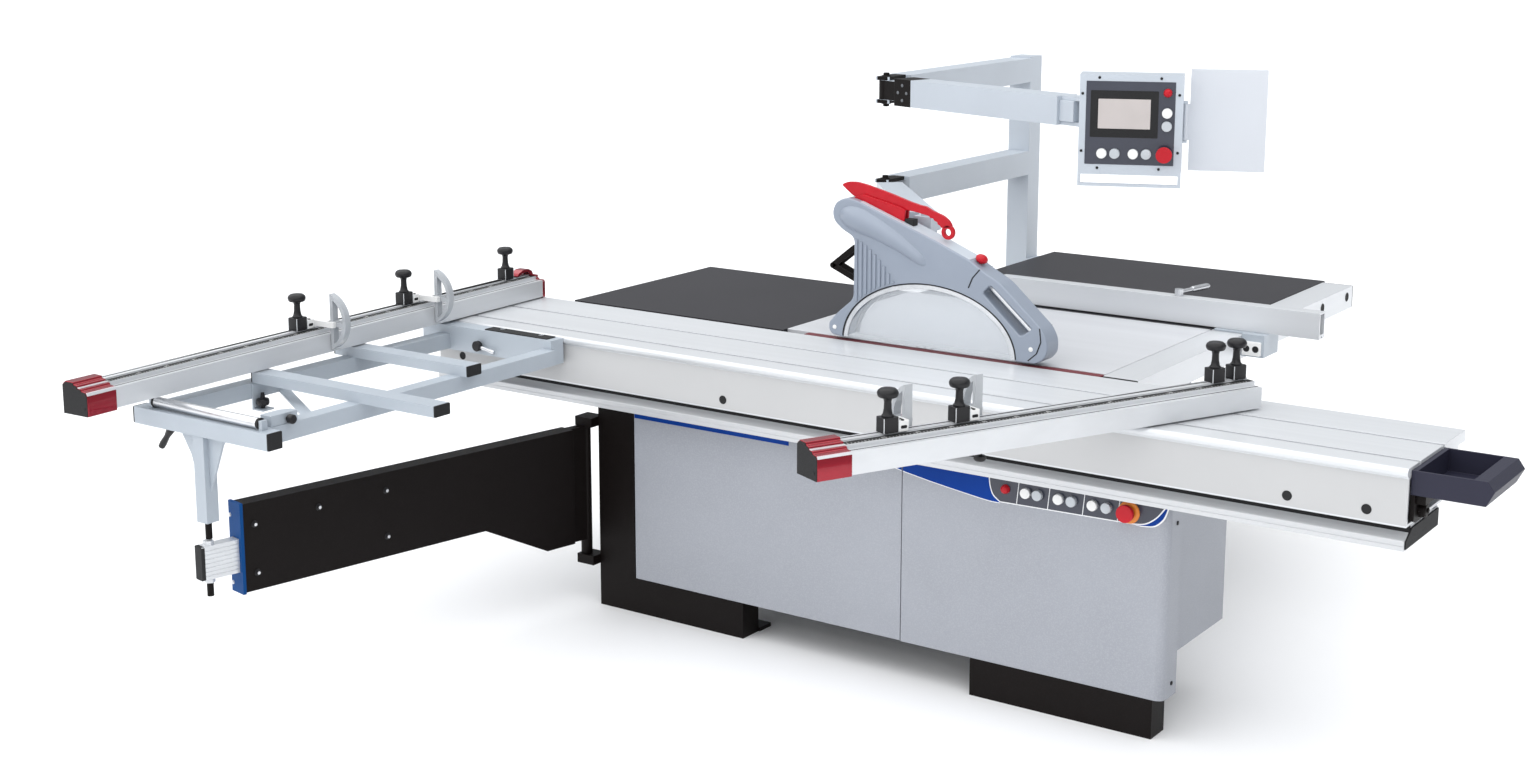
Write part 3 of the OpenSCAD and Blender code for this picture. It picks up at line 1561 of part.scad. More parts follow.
base_frame();
cabinet_shell();
right_cover();
left_door();
base_rail();
iron_table();
rear_table();
right_table();
fence_rail();
kerf_strip();
column();
swing_arm();
arm_end_plate();
arm_extension();
carriage();
carriage_handle();
outrigger_frame();
outrigger_roller();
crosscut_fence();
crosscut_extension();
on_crosscut() fence_stop(crosscut_stop_ya, 1);  // crosscut_stop_a
on_crosscut() fence_stop(crosscut_stop_yb, 1);  // crosscut_stop_b
on_crosscut() stop_blade(crosscut_stop_ya, 1);  // crosscut_blade_a
on_crosscut() stop_blade(crosscut_stop_yb, 1);  // crosscut_blade_b
mitre_fence();
on_mitre() fence_stop(mitre_stop_ya, -1);  // mitre_stop_a
on_mitre() fence_stop(mitre_stop_yb, -1);  // mitre_stop_b
on_mitre() stop_blade(mitre_stop_ya, -1);  // mitre_blade_a
on_mitre() stop_blade(mitre_stop_yb, -1);  // mitre_blade_b
rip_head();
rip_fence();
rip_lever();
saw_trunnion();
arbor_carrier();
motor();
motor_pulley();
drive_belt();
main_blade();
scoring_blade();
guard_body();
guard_window();
push_stick();
guard_arm();
panel_arm();
panel_box();
panel_flap();
cabinet_button(0);  // cabinet_button_1
cabinet_button(1);  // cabinet_button_2
cabinet_button(2);  // cabinet_button_3
cabinet_button(3);  // cabinet_button_4
cabinet_button(4);  // cabinet_button_5
cabinet_button(5);  // cabinet_button_6
cabinet_stop();
panel_button(0);  // panel_button_1
panel_button(1);  // panel_button_2
panel_button(2);  // panel_button_3
panel_button(3);  // panel_button_4
panel_button(4);  // panel_button_5
panel_button(5);  // panel_button_6
panel_stop();
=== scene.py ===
# %% [markdown]
# # A sliding table saw, dressed for the studio
# The saw arrives as a CAD frame of sixty named parts that already stand in their places. This
# lesson gives every part its real finish, and adds the small things that CAD left plain: moulded
# shells, printed panels, caps, screws, scales and knobs. Lengths in the code are millimetres,
# because the machine was measured in them, and one helper turns them into Blender's metres.

# %% Load the frame
import math
import bmesh
import bpy
from mathutils import Matrix, Vector


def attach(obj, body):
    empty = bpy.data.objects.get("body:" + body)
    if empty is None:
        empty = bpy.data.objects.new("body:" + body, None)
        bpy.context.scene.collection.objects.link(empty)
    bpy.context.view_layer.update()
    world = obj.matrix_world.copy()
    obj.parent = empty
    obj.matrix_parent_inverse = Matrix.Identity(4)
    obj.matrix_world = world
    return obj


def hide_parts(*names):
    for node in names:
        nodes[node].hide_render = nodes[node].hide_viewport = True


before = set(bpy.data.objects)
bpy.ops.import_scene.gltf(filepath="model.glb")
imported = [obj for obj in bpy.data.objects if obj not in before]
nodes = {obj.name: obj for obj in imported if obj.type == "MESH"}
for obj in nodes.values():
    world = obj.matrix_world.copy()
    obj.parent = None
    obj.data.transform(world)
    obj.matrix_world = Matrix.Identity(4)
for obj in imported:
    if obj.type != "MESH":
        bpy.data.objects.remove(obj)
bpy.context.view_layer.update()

MM = 0.001

# %% [markdown]
# ## The camera
# The photograph was taken from the front right corner, from a little above, with a normal lens.
# The place was found by matching known corners of the machine to the picture. A small downward
# shift keeps the uprights nearly parallel, as they are in a product photograph.

# %% Camera
EYE = (3128.9, -5522.0, 2254.4)
LOOKS_DOWN, TURNED_LEFT = 11.1, 34.873
SENSOR_WIDTH, FOCAL_LENGTH, SHIFT = 36.0, 49.147, -0.06
lens = bpy.data.cameras.new("photo_view")
lens.sensor_width, lens.lens, lens.shift_y = SENSOR_WIDTH, FOCAL_LENGTH, SHIFT
eye = bpy.data.objects.new("photo_view", lens)
eye.location = Vector(EYE) * MM
eye.rotation_euler = (math.radians(90 - LOOKS_DOWN), 0, math.radians(TURNED_LEFT))
bpy.context.collection.objects.link(eye)
bpy.context.scene.camera = eye
print("camera at", [round(x, 2) for x in eye.location])

# %% [markdown]
# ## A maker of finishes
# Powder coat, anodised extrusion, ground iron and moulded plastic all look flat until they have the
# detail of the real surface. Each finish below drifts in tone over large patches, has a fine relief
# at its own scale, and varies in roughness with the same grain. Coordinates are the part's own, in
# metres, so a grain of two millimetres is a noise scale of five hundred, and metal that was drawn
# through a die gets its noise stretched along the bar. Constants go straight onto the shader. Each
# finish also records the name of its material slot in a table.

# %% Finish maker
SLOTS = {}
SMOOTHEST, RAMP_LOW, RAMP_HIGH = 0.02, 0.3, 0.7


def finish(name, slot, colour, rough, metal=0.0, tone=0.05, patch=0.25, grain=0.002, relief=0.1,
           along=(1, 1, 1), coat=0.0, spread=0.12, shine=0.5):
    """A finish: colour drifting by tone over patches, with a relief and roughness of one grain size."""
    look = bpy.data.materials.new(name)
    SLOTS[look.name] = slot
    look.use_nodes = True
    tree = look.node_tree
    shader = tree.nodes["Principled BSDF"]
    shader.inputs["Metallic"].default_value = metal
    shader.inputs["Coat Weight"].default_value = coat
    shader.inputs["Specular IOR Level"].default_value = shine
    place = tree.nodes.new("ShaderNodeTexCoord")
    grid = tree.nodes.new("ShaderNodeMapping")
    grid.inputs["Scale"].default_value = along
    tree.links.new(place.outputs["Object"], grid.inputs["Vector"])
    drift, fine = (tree.nodes.new("ShaderNodeTexNoise") for _ in range(2))
    for noise, size, detail in ((drift, patch, 5.0), (fine, grain, 3.0)):
        noise.inputs["Scale"].default_value, noise.inputs["Detail"].default_value = 1 / size, detail
        tree.links.new(grid.outputs["Vector"], noise.inputs["Vector"])
    shade = tree.nodes.new("ShaderNodeValToRGB")
    dark, light = shade.color_ramp.elements
    dark.position, light.position = RAMP_LOW, RAMP_HIGH
    dark.color = [c * (1 - tone) for c in colour] + [1]
    light.color = [min(1, c * (1 + tone)) for c in colour] + [1]
    tree.links.new(drift.outputs["Fac"], shade.inputs["Fac"])
    tree.links.new(shade.outputs["Color"], shader.inputs["Base Color"])
    sheen = tree.nodes.new("ShaderNodeMapRange")
    sheen.inputs["To Min"].default_value = max(SMOOTHEST, rough - spread / 2)
    sheen.inputs["To Max"].default_value = min(1.0, rough + spread / 2)
    tree.links.new(fine.outputs["Fac"], sheen.inputs["Value"])
    tree.links.new(sheen.outputs["Result"], shader.inputs["Roughness"])
    bump = tree.nodes.new("ShaderNodeBump")
    bump.inputs["Strength"].default_value = relief
    bump.inputs["Distance"].default_value = grain
    tree.links.new(fine.outputs["Fac"], bump.inputs["Height"])
    tree.links.new(bump.outputs["Normal"], shader.inputs["Normal"])
    return look


print("finish maker ready")

# %% [markdown]
# ## Specks for the textured coats
# Textured powder coat is sprayed in grains that melt into small bumps, and their tops catch the light
# as fine pale specks. Geometry would be far too heavy for that, so a second, finer noise is cut to a
# narrow band and mixes a lighter colour into the finish: painted highlights on the grains' tops.

# %% Specks
SPECKS_FROM, SPECKS_TO = 0.45, 0.72


def speckled(look, colour, amount, size):
    """Adds fine pale specks to a finish: painted highlights on the grains of a textured powder coat."""
    tree = look.node_tree
    shader, shade = tree.nodes["Principled BSDF"], tree.nodes["Color Ramp"]
    specks = tree.nodes.new("ShaderNodeTexNoise")
    specks.inputs["Scale"].default_value, specks.inputs["Detail"].default_value = 1 / size, 1.0
    tree.links.new(tree.nodes["Mapping"].outputs["Vector"], specks.inputs["Vector"])
    share = tree.nodes.new("ShaderNodeMapRange")
    share.inputs["From Min"].default_value, share.inputs["From Max"].default_value = SPECKS_FROM, SPECKS_TO
    share.inputs["To Max"].default_value = amount
    tree.links.new(specks.outputs["Fac"], share.inputs["Value"])
    mix = tree.nodes.new("ShaderNodeMix")
    mix.data_type = "RGBA"
    mix.inputs["B"].default_value = [*colour, 1]
    tree.links.new(share.outputs["Result"], mix.inputs["Factor"])
    tree.links.new(shade.outputs["Color"], mix.inputs["A"])
    tree.links.new(mix.outputs["Result"], shader.inputs["Base Color"])
    return look


print("specks ready")

# %% [markdown]
# ## Coats and paints
# Frame and arm are black powder coat, the cabinet a grey texture coat, and the tubes of column and
# outrigger a pale machine paint. Black looks black only if it hardly shines, so the dark coats get
# less reflection than the usual half, and their colour keeps a little warmth.

# %% Coats and paints
# The second colour of each coat is the painted highlight of its grains.
black_coat = speckled(finish("black_powder_coat", "black_frame", (0.0042, 0.0026, 0.0023), 0.5, grain=0.0016,
                             relief=0.18, shine=0.14),
                      (0.011, 0.008, 0.0075), 0.4, 0.003)
grey_coat = speckled(finish("grey_texture_coat", "grey_panel", (0.325, 0.34, 0.378), 0.5, tone=0.03,
                            grain=0.0022, relief=0.3),
                     (0.42, 0.43, 0.46), 0.45, 0.004)
black_top = speckled(finish("black_table_coat", "black_table", (0.0195, 0.018, 0.0215), 0.42, tone=0.1,
                            grain=0.0018, relief=0.2, shine=0.2),
                     (0.06, 0.06, 0.067), 0.35, 0.0025)
blue_gloss = finish("blue_gloss_paint", "blue_plate", (0.001, 0.055, 0.21), 0.45, tone=0.06, grain=0.004,
                    relief=0.05, shine=0.12)
pale_paint = finish("pale_grey_paint", "light_paint", (0.50, 0.545, 0.60), 0.38, tone=0.03, grain=0.003,
                    relief=0.12, coat=0.15)
silver_paint = finish("silver_grey_paint", "light_paint", (0.40, 0.445, 0.495), 0.36, tone=0.03, grain=0.003,
                      relief=0.12, coat=0.15)
flap_paint = finish("flap_white_paint", "light_paint", (0.62, 0.645, 0.69), 0.4, tone=0.02, grain=0.003)
# Warm grey for the carriage's side, kept darker than the top as painted shade of the side face.
side_shade_paint = finish("warm_grey_side_shade", "light_paint", (0.495, 0.497, 0.5), 0.5, tone=0.02, patch=0.4)
hammer_blue = finish("hammered_motor_paint", "motor_paint", (0.07, 0.12, 0.19), 0.35, tone=0.15, grain=0.006,
                     relief=0.6)
print(len(bpy.data.materials), "finishes so far")

# %% [markdown]
# ## Metals
# The carriage and the fences are anodised extrusions, with fine lines along their length. The table is
# cast iron, ground along the machine, and the machine's inner castings are rough. Anodising is a clear
# layer over metal, which reads best as partly metallic with a bright, calm colour under it.

# %% Metals
anodised = dict(tone=0.035, patch=0.05, grain=0.0012)
drawn_x = finish("anodised_along_x", "anodised", (0.66, 0.675, 0.695), 0.34, metal=0.3, along=(0.015, 1, 1),
                 **anodised)
drawn_y = finish("anodised_along_y", "anodised", (0.66, 0.675, 0.695), 0.32, metal=0.35, along=(1, 0.015, 1),
                 **anodised)
anodised_red = finish("anodised_red_cap", "red_plastic", (0.32, 0.008, 0.022), 0.22, metal=0.6, tone=0.1,
                      patch=0.08, grain=0.0012, relief=0.06, along=(1, 0.05, 1), coat=0.5)
ground_iron = finish("ground_iron", "cast_table", (0.64, 0.65, 0.675), 0.36, metal=0.25, patch=0.12,
                     grain=0.0015, relief=0.16, along=(0.04, 1, 1))
bright_steel = finish("bright_steel", "steel", (0.66, 0.67, 0.69), 0.28, metal=1.0, tone=0.06, patch=0.03,
                      grain=0.0008, relief=0.08)
machine_grey = finish("machine_grey_iron", "machine_iron", (0.16, 0.17, 0.185), 0.55, metal=0.2, tone=0.12,
                      grain=0.004, relief=0.4)
print(len(bpy.data.materials), "finishes so far")

# %% [markdown]
# ## Plastics and rubber
# Moulded shells have a soft, fine grain from the mould, and knobs are smoother because hands polish
# them. Rubber is rough all over. The stop blades and the buttons are glossier than the shells, since
# small things look like card without a highlight.

# %% Plastics and rubber
black_rubber = finish("black_rubber", "rubber", (0.016, 0.016, 0.017), 0.7, tone=0.15, grain=0.003,
                      relief=0.3, shine=0.3)
dark_shell = finish("dark_slate_plastic", "dark_plastic", (0.022, 0.022, 0.04), 0.45, tone=0.08, grain=0.0012,
                    relief=0.2, shine=0.25)
knob_black = finish("knob_black_plastic", "dark_plastic", (0.012, 0.0115, 0.013), 0.34, tone=0.1, patch=0.05,
                    grain=0.001, relief=0.12, shine=0.3)
guard_shell = finish("guard_grey_plastic", "grey_plastic", (0.27, 0.308, 0.375), 0.36, tone=0.035,
                     grain=0.0016, relief=0.12, coat=0.2)
red_shell = finish("red_moulded_plastic", "red_plastic", (0.48, 0.004, 0.014), 0.3, tone=0.08, patch=0.06,
                   grain=0.0012, relief=0.08, coat=0.1, shine=0.25)
red_strip = finish("dark_red_strip", "red_strip", (0.13, 0.006, 0.012), 0.5, tone=0.15, patch=0.05,
                   relief=0.2)
white_shell = finish("white_moulded_plastic", "white_plastic", (0.82, 0.82, 0.81), 0.35, tone=0.02,
                     grain=0.0015, relief=0.06)
button_grey = finish("button_grey_plastic", "white_plastic", (0.50, 0.53, 0.56), 0.35, tone=0.03,
                     grain=0.0015, relief=0.06)
stop_grey = finish("stop_grey_plastic", "anodised", (0.42, 0.44, 0.465), 0.22, patch=0.05, grain=0.001,
                   relief=0.05, coat=0.4)
print(len(bpy.data.materials), "finishes so far")

# %% [markdown]
# ## Clear plastic
# The guard's window and shroud are clear sheet. Real polycarbonate lets light straight through and
# only shows at its edges and in its reflections. A glass shader would darken everything behind it,
# because lamps can't shine through one, so the sheet is a thin veil: mostly see-through, faintly blue,
# with wipe marks in its gloss.

# %% Clear sheet
VEIL = 0.24
clear_sheet = finish("clear_sheet", "clear", (0.80, 0.84, 0.88), 0.06, tone=0.01, grain=0.03, relief=0.02,
                     spread=0.06)
clear_sheet.node_tree.nodes["Principled BSDF"].inputs["Alpha"].default_value = VEIL
print("clear sheet made")

# %% [markdown]
# ## A finish for every CAD part
# Most parts are the right shape already: plates, tubes and extrusions. They keep their CAD mesh and
# get a finish. One table pairs each finish with the parts that have it, which is easier to check
# against the photograph than a line of code for each part.

# %% Finishes for the CAD parts
def buttons(numbers):
    """The names of the push buttons with these numbers, on the cabinet and on the panel."""
    return " ".join(f"{place}_button_{number}" for place in ("cabinet", "panel") for number in numbers)


LOOKS = [
    (black_coat, "base_frame swing_arm"),
    (grey_coat, "cabinet_shell right_cover left_door"),
    (blue_gloss, "arm_end_plate"),
    (pale_paint, "column guard_arm panel_arm panel_box"),
    (flap_paint, "panel_flap"),
    (silver_paint, "outrigger_frame rip_head"),
    (drawn_x, "carriage base_rail rip_fence"),
    (drawn_y, "fence_rail arm_extension crosscut_fence crosscut_extension mitre_fence"
              " crosscut_stop_a crosscut_stop_b mitre_stop_a mitre_stop_b"),
    (stop_grey, "crosscut_blade_a crosscut_blade_b mitre_blade_a mitre_blade_b"),
    (ground_iron, "iron_table"),
    (black_top, "rear_table right_table"),
    (bright_steel, "main_blade scoring_blade outrigger_roller motor_pulley rip_lever"),
    (machine_grey, "saw_trunnion arbor_carrier"),
    (black_rubber, "drive_belt"),
    (dark_shell, "carriage_handle"),
    (guard_shell, "guard_body"),
    (red_shell, "push_stick cabinet_stop panel_stop"),
    (red_strip, "kerf_strip"),
    (clear_sheet, "guard_window"),
    (white_shell, buttons("135")),
    (button_grey, buttons("246")),
    (hammer_blue, "motor"),
]
bare = sorted(set(nodes) - {name for _, names in LOOKS for name in names.split()})
print("parts without a finish:", bare)

# %% [markdown]
# ## Soft edges on the CAD parts
# No real edge is perfectly sharp, and the thin highlight along it tells the eye that a part is solid.
# A CAD mesh comes as triangles, which a bevel would round one by one, so a chain of modifiers first
# welds them and dissolves the flat ones, and then rounds what is left. Folded sheet gets a wider
# radius. Small parts with fine teeth or grooves stay as they are.

# %% Dressing the CAD parts
EDGES = {"base_frame": 3.0, "swing_arm": 2.5, "right_cover": 3.0, "left_door": 3.0, "cabinet_shell": 2.0}
USUAL_EDGE, WELD_REACH, FLAT_ANGLE, EDGE_ANGLE = 1.2, 1e-5, 0.5, 40
FINE = {"rip_lever", "main_blade", "scoring_blade", "drive_belt", "motor", "motor_pulley", "saw_trunnion",
        "arbor_carrier"}
FINE |= {f"{fence}_{kind}_{side}" for fence in ("crosscut", "mitre") for kind in ("stop", "blade")
         for side in "ab"}


def dress(name, look):
    """Gives a CAD part its finish and softened edges."""
    part, slot = nodes[name], SLOTS[look.name]
    part.data.materials.clear()
    part.data.materials.append(look)
    if name in FINE:
        return
    part.modifiers.new("weld", "WELD").merge_threshold = WELD_REACH
    flat = part.modifiers.new("flat", "DECIMATE")
    flat.decimate_type, flat.angle_limit = "DISSOLVE", math.radians(FLAT_ANGLE)
    edge = part.modifiers.new("edge", "BEVEL")
    edge.width, edge.segments, edge.limit_method = EDGES.get(name, USUAL_EDGE) * MM, 2, "ANGLE"
    edge.angle_limit, edge.harden_normals = math.radians(EDGE_ANGLE), True


for look, names in LOOKS:
    for name in names.split():
        dress(name, look)
print("dressed", len(nodes), "parts,", len(FINE), "of them with their edges as they are")

# %% [markdown]
# ## Blocks and outlines
# Most of a machine is sawn, folded or extruded, so two shapes go a long way: a block between two
# corners, and an outline drawn out along an axis. Blender's extrude tool works on a selection in a
# window. In a script it is shorter to make the points directly, in a bmesh, and then every corner is
# where the drawing says.

# %% Blocks and outlines
AXES = {"x": (1, 2, 0), "y": (0, 2, 1), "z": (0, 1, 2)}


def block(bm, low, high):
    """A block between two corners."""
    lo, hi = Vector(low), Vector(high)
    for v in bmesh.ops.create_cube(bm, size=1.0)["verts"]:
        v.co = Vector([lo[i] + (v.co[i] + 0.5) * (hi[i] - lo[i]) for i in range(3)])


def drawn(bm, outline, axis, start, end):
    """An outline drawn out along an axis: (y, z) along x, (x, z) along y, (x, y) along z."""
    i, j, k = AXES[axis]
    rings = []
    for level in (start, end):
        ring = []
        for p in outline:
            co = [0.0, 0.0, 0.0]
            co[i], co[j], co[k] = p[0], p[1], level
            ring.append(bm.verts.new(co))
        bm.faces.new(ring)
        rings.append(ring)
    for a in range(len(outline)):
        b = (a + 1) % len(outline)
        bm.faces.new((rings[0][a], rings[0][b], rings[1][b], rings[1][a]))


print("block and drawn are ready for the axes", *AXES)

# %% [markdown]
# ## Rounded outlines
# Moulded and folded parts have round corners also in their outline, where a bevel of a millimetre or two
# isn't enough. A true arc needs the angle of each corner. A short bent line that starts and ends on the two
# sides and aims at the corner looks the same at this size, and works for any angle.

# %% Rounded outlines
def rounded(points, radius, steps=5):
    """The same outline with each corner rounded off."""
    out, n = [], len(points)
    for k in range(n):
        p = Vector(points[k])
        a, b = Vector(points[k - 1]) - p, Vector(points[(k + 1) % n]) - p
        r = min(radius, 0.45 * a.length, 0.45 * b.length)
        start, end = p + a.normalized() * r, p + b.normalized() * r
        for s in range(steps + 1):
            t = s / steps
            out.append(tuple((1 - t) ** 2 * start + 2 * t * (1 - t) * p + t * t * end))
    return out


def box_outline(u0, v0, u1, v1, radius):
    """A rectangle between two corners, with its own corners rounded off."""
    return rounded([(u0, v0), (u1, v0), (u1, v1), (u0, v1)], radius)


print("a box outline has", len(box_outline(0, 0, 10, 10, 1)), "points")

# %% [markdown]
# ## Turned parts
# Knobs, screws, plugs and lamps are turned on a lathe or moulded round. Half of the silhouette, as
# pairs of radius and height, goes round the axis in even steps. Blender's screw modifier could do it,
# but made here, a profile that returns to its start closes into a ring, any other gets flat ends,
# and many turnings can share one mesh.

# %% Turned parts
def turned(bm, profile, centre, axis, steps):
    """A profile of (radius, height) points turned round an axis."""
    i, j, k = AXES[axis]
    c, rings = Vector(centre), []
    for r, h in profile:
        ring = []
        for s in range(steps if r > 0 else 1):
            a = 2 * math.pi * s / steps
            co = [0.0, 0.0, 0.0]
            co[i], co[j], co[k] = c[i] + r * math.cos(a), c[j] + r * math.sin(a), c[k] + h
            ring.append(bm.verts.new(co))
        rings.append(ring)
    for low, high in zip(rings, rings[1:]):
        for s in range(steps):
            t = (s + 1) % steps
            corners = [low[s % len(low)], low[t % len(low)], high[t % len(high)], high[s % len(high)]]
            bm.faces.new(list(dict.fromkeys(corners)))
    if profile[0] == profile[-1]:
        bmesh.ops.remove_doubles(bm, verts=rings[0] + rings[-1], dist=1e-4)
        return
    for ring in (rings[0], rings[-1]):
        if len(ring) > 2:
            bm.faces.new(ring)


def facing(profile, out):
    """The same profile pointing up its axis (1) or down it (-1)."""
    return [(r, h * out) for r, h in profile]


print("turned parts ready")

# %% [markdown]
# ## From shape to piece
# A bmesh is only a heap of faces. `piece` makes an object of it: it softens the edges with a bevel, which
# catches the light as a real edge does, gives it a finish and lets it ride on a body of the frame. The
# bevel stays a modifier, so that openings can still be cut from the plain shape.

# %% From shape to piece
def meshed(name, bm, at):
    """Makes an object in metres of a shape in millimetres, in the place of the part it stands on."""
    bmesh.ops.recalc_face_normals(bm, faces=bm.faces)
    mesh = bpy.data.meshes.new(name)
    bm.to_mesh(mesh)
    bm.free()
    if at is not None:
        mesh.transform(at)
    mesh.transform(Matrix.Scale(MM, 4))
    obj = bpy.data.objects.new(name, mesh)
    bpy.context.collection.objects.link(obj)
    return obj


def piece(name, body, look, bm, bevel=1.0, segments=2, at=None, smooth=35):
    """Finishes a shape as a named object that rides on a body."""
    obj, slot = meshed(name, bm, at), SLOTS[look.name]
    obj.data.materials.append(look)
    obj.data.shade_smooth()
    obj.data.set_sharp_from_angle(angle=math.radians(smooth))
    if bevel:
        edge = obj.modifiers.new("edge", "BEVEL")
        edge.width, edge.segments, edge.limit_method = bevel * MM, segments, "ANGLE"
        edge.angle_limit, edge.harden_normals = math.radians(smooth), True
    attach(obj, body)
    return obj


print("pieces can be finished in", len(set(SLOTS.values())), "slots")

# %% [markdown]
# ## Common pieces
# Most pieces are one turning, one outline or one block, at one place or at several. They could be written out
# each time, but three short helpers leave only what differs: the shape and its place. Parts that stand askew
# are drawn straight, about their own origin, and `placed` turns them to where they belong.

# %% Common pieces
HERE = [(0, 0, 0)]


def turning(name, body, look, profile, places, axis, steps, **how):
    """A piece of one turned profile, repeated at each place."""
    bm = bmesh.new()
    for place in places:
        turned(bm, profile, place, axis, steps)
    return piece(name, body, look, bm, **how)


def drawing(name, body, look, outlines, axis, start, end, **how):
    """A piece of outlines drawn out between the same two levels."""
    bm = bmesh.new()
    for outline in outlines:
        drawn(bm, outline, axis, start, end)
    return piece(name, body, look, bm, **how)


def blocks(name, body, look, corners, **how):
    """A piece of blocks, each between two corners."""
    bm = bmesh.new()
    for low, high in corners:
        block(bm, low, high)
    return piece(name, body, look, bm, **how)


def placed(x, y, z, turn, about="Z"):
    """The place of a part that stands at a point, turned about an axis."""
    return Matrix.Translation((x, y, z)) @ Matrix.Rotation(math.radians(turn), 4, about)


print("turnings, drawings and blocks are ready")

# %% [markdown]
# ## The saw guard
# The hood is one moulded shell: a tall ribbed spine on the left, a rounded dust duct along its back, a
# slotted arm on the right, and an arch in the middle for the clear window. A blocky hood could be cut
# from one plate, but the moulding shows in its soft edges, so the side outline is drawn out across
# the guard and given a wide bevel.

# %% Guard hood
GUARD_FRONT, GUARD_BACK = -185.0, -109.0
GUARD_MIDDLE = (GUARD_FRONT + GUARD_BACK) / 2
ARCH_X, ARCH_Z = 9.4, 889


def arch(wide, tall, start, end, steps):
    """Points along an ellipse round the window's middle, between two angles in degrees."""
    turns = [math.radians(start + (end - start) * s / steps) for s in range(steps + 1)]
    return [(ARCH_X + wide * math.cos(t), ARCH_Z + tall * math.sin(t)) for t in turns]


left_side = [(-333, 893), (-345, 908), (-345, 930), (-316, 963), (-256, 1014), (-254, 1206), (-300, 1228),
             (-328, 1252), (-335, 1280), (-322, 1310), (-288, 1327)]
right_side = [(-250, 1322), (-67, 1257), (39, 1220), (149, 1176), (189, 1150), (256, 1116), (396, 994),
              (414, 958), (413, 922), (396, 899), (372, 889)]
hood_outline = rounded(left_side + right_side, 18) + arch(300, 196, 0, 180, 40)
hood_shell = drawing("guard_hood", "guard", guard_shell, [hood_outline], "y", GUARD_FRONT, GUARD_BACK,
                     bevel=7, segments=4, smooth=30)
print("guard hood", len(hood_shell.data.polygons), "faces")

# %% [markdown]
# ## The slot in the guard's arm
# The guard is raised and locked along a rod, which shows through a slot in its arm. A dark patch would
# pass for a slot from the front alone, so the opening is cut right through with a boolean, which is
# applied before the bevel and so gets the same soft rim as the outside.

# %% Slot and rod
def cut(shell, bm, at=None):
    """Takes closed shapes out of a piece, before its edges are rounded."""
    cutter = meshed("cutter", bm, at)
    opening = shell.modifiers.new("cut", "BOOLEAN")
    opening.operation, opening.object, opening.solver = "DIFFERENCE", cutter, "EXACT"
    bpy.ops.object.select_all(action="DESELECT")
    bpy.context.view_layer.objects.active = shell
    shell.select_set(True)
    bpy.ops.object.modifier_move_to_index(modifier="cut", index=0)
    bpy.ops.object.modifier_apply(modifier="cut")
    bpy.data.objects.remove(cutter)


slot_shape = bmesh.new()
drawn(slot_shape, rounded([(196, 1082), (222, 1108), (362, 992), (326, 966)], 10), "y",
      GUARD_FRONT - 20, GUARD_BACK + 20)
cut(hood_shell, slot_shape)
turning("guard_slot_rod", "guard", bright_steel, [(0, -102), (12, -102), (12, 102), (0, 102)], HERE, "x", 28,
        at=placed(276, GUARD_MIDDLE, 1037, 40.7, "Y"))
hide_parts("guard_body")
print("slot cut:", len(hood_shell.data.polygons), "faces")

# %% [markdown]
# ## The dust duct
# Dust leaves the guard through a round duct that starts as a blunt nose and thins out along the back of
# the hood. A curve with a bevel profile would keep one round section, but this one is flatter than it is
# wide and changes all the way, so rings are swept along a bent line, each with its own height and depth.

# %% Duct along the back of the guard
def swept(bm, path, steps=24):
    """Rings of (x, z, half height, half depth) along a line in the guard's plane, closed at both ends."""
    rings = []
    for k, (x, z, tall, deep) in enumerate(path):
        a, b = path[max(0, k - 1)], path[min(len(path) - 1, k + 1)]
        run = Vector((b[0] - a[0], b[1] - a[1])).normalized()
        across = Vector((-run.y, run.x))
        ring = []
        for s in range(steps):
            t = 2 * math.pi * s / steps
            off = across * (tall * math.cos(t))
            ring.append(bm.verts.new((x + off.x, GUARD_MIDDLE + deep * math.sin(t), z + off.y)))
        rings.append(ring)
    for low, high in zip(rings, rings[1:]):
        for s in range(steps):
            t = (s + 1) % steps
            bm.faces.new((low[s], low[t], high[t], high[s]))
    bm.faces.new(rings[0])
    bm.faces.new(rings[-1])


DUCT_STEPS, LEAST_HALF = 24, 3
nose, bend, tail = Vector((-284, 1273)), Vector((-120, 1236)), Vector((22, 1132))
duct_path = []
for s in range(DUCT_STEPS + 1):
    t = s / DUCT_STEPS
    place = (1 - t) ** 2 * nose + 2 * t * (1 - t) * bend + t * t * tail
    tip = 1 - min(1, t * 6)
    swell = math.sqrt(max(0.0, 1 - tip ** 2)) * math.sqrt(max(0.02, 1 - max(0, t - 0.8) ** 2 * 23))
    duct_path.append((place.x - 52 * tip * 0.9, place.y + 9 * tip,
                      max(LEAST_HALF, (57 - 33 * t) * swell), max(LEAST_HALF, (61 - 14 * t) * swell)))
duct = bmesh.new()
swept(duct, duct_path)
piece("guard_duct", "guard", guard_shell, duct, bevel=0, smooth=60)
print("duct of", len(duct_path), "rings")

# %% [markdown]
# ## Ribs and seams of the guard
# The spine is stiffened by a row of upright ribs, and thin dark seams show where the halves of the
# moulding and the arm's cover meet. Lines in a texture would vanish at the edges, so both are real: a
# block for each rib, as tall as the curve above it allows, and a narrow dark strip along each seam.

# %% Ribs and seams
RIB_COUNT, RIB_STEP, RIB_WIDE, RIB_DEEP = 9, 16.5, 10, 6.0
ribs = bmesh.new()
for k in range(RIB_COUNT):
    x = -249 + RIB_STEP * k
    along = (x + 254) / 136
    top = 1204 - 117 * along + 76 * along * (1 - along)
    low = ARCH_Z + 198 * math.sqrt(max(0, 1 - ((x + RIB_WIDE / 2 - ARCH_X) / 304) ** 2)) + 9
    for y in (GUARD_FRONT - 4.5, GUARD_BACK - 1.5):
        block(ribs, (x, y, low), (x + RIB_WIDE, y + RIB_DEEP, max(top, low + 6)))
piece("guard_ribs", "guard", guard_shell, ribs, bevel=2.2, segments=3)

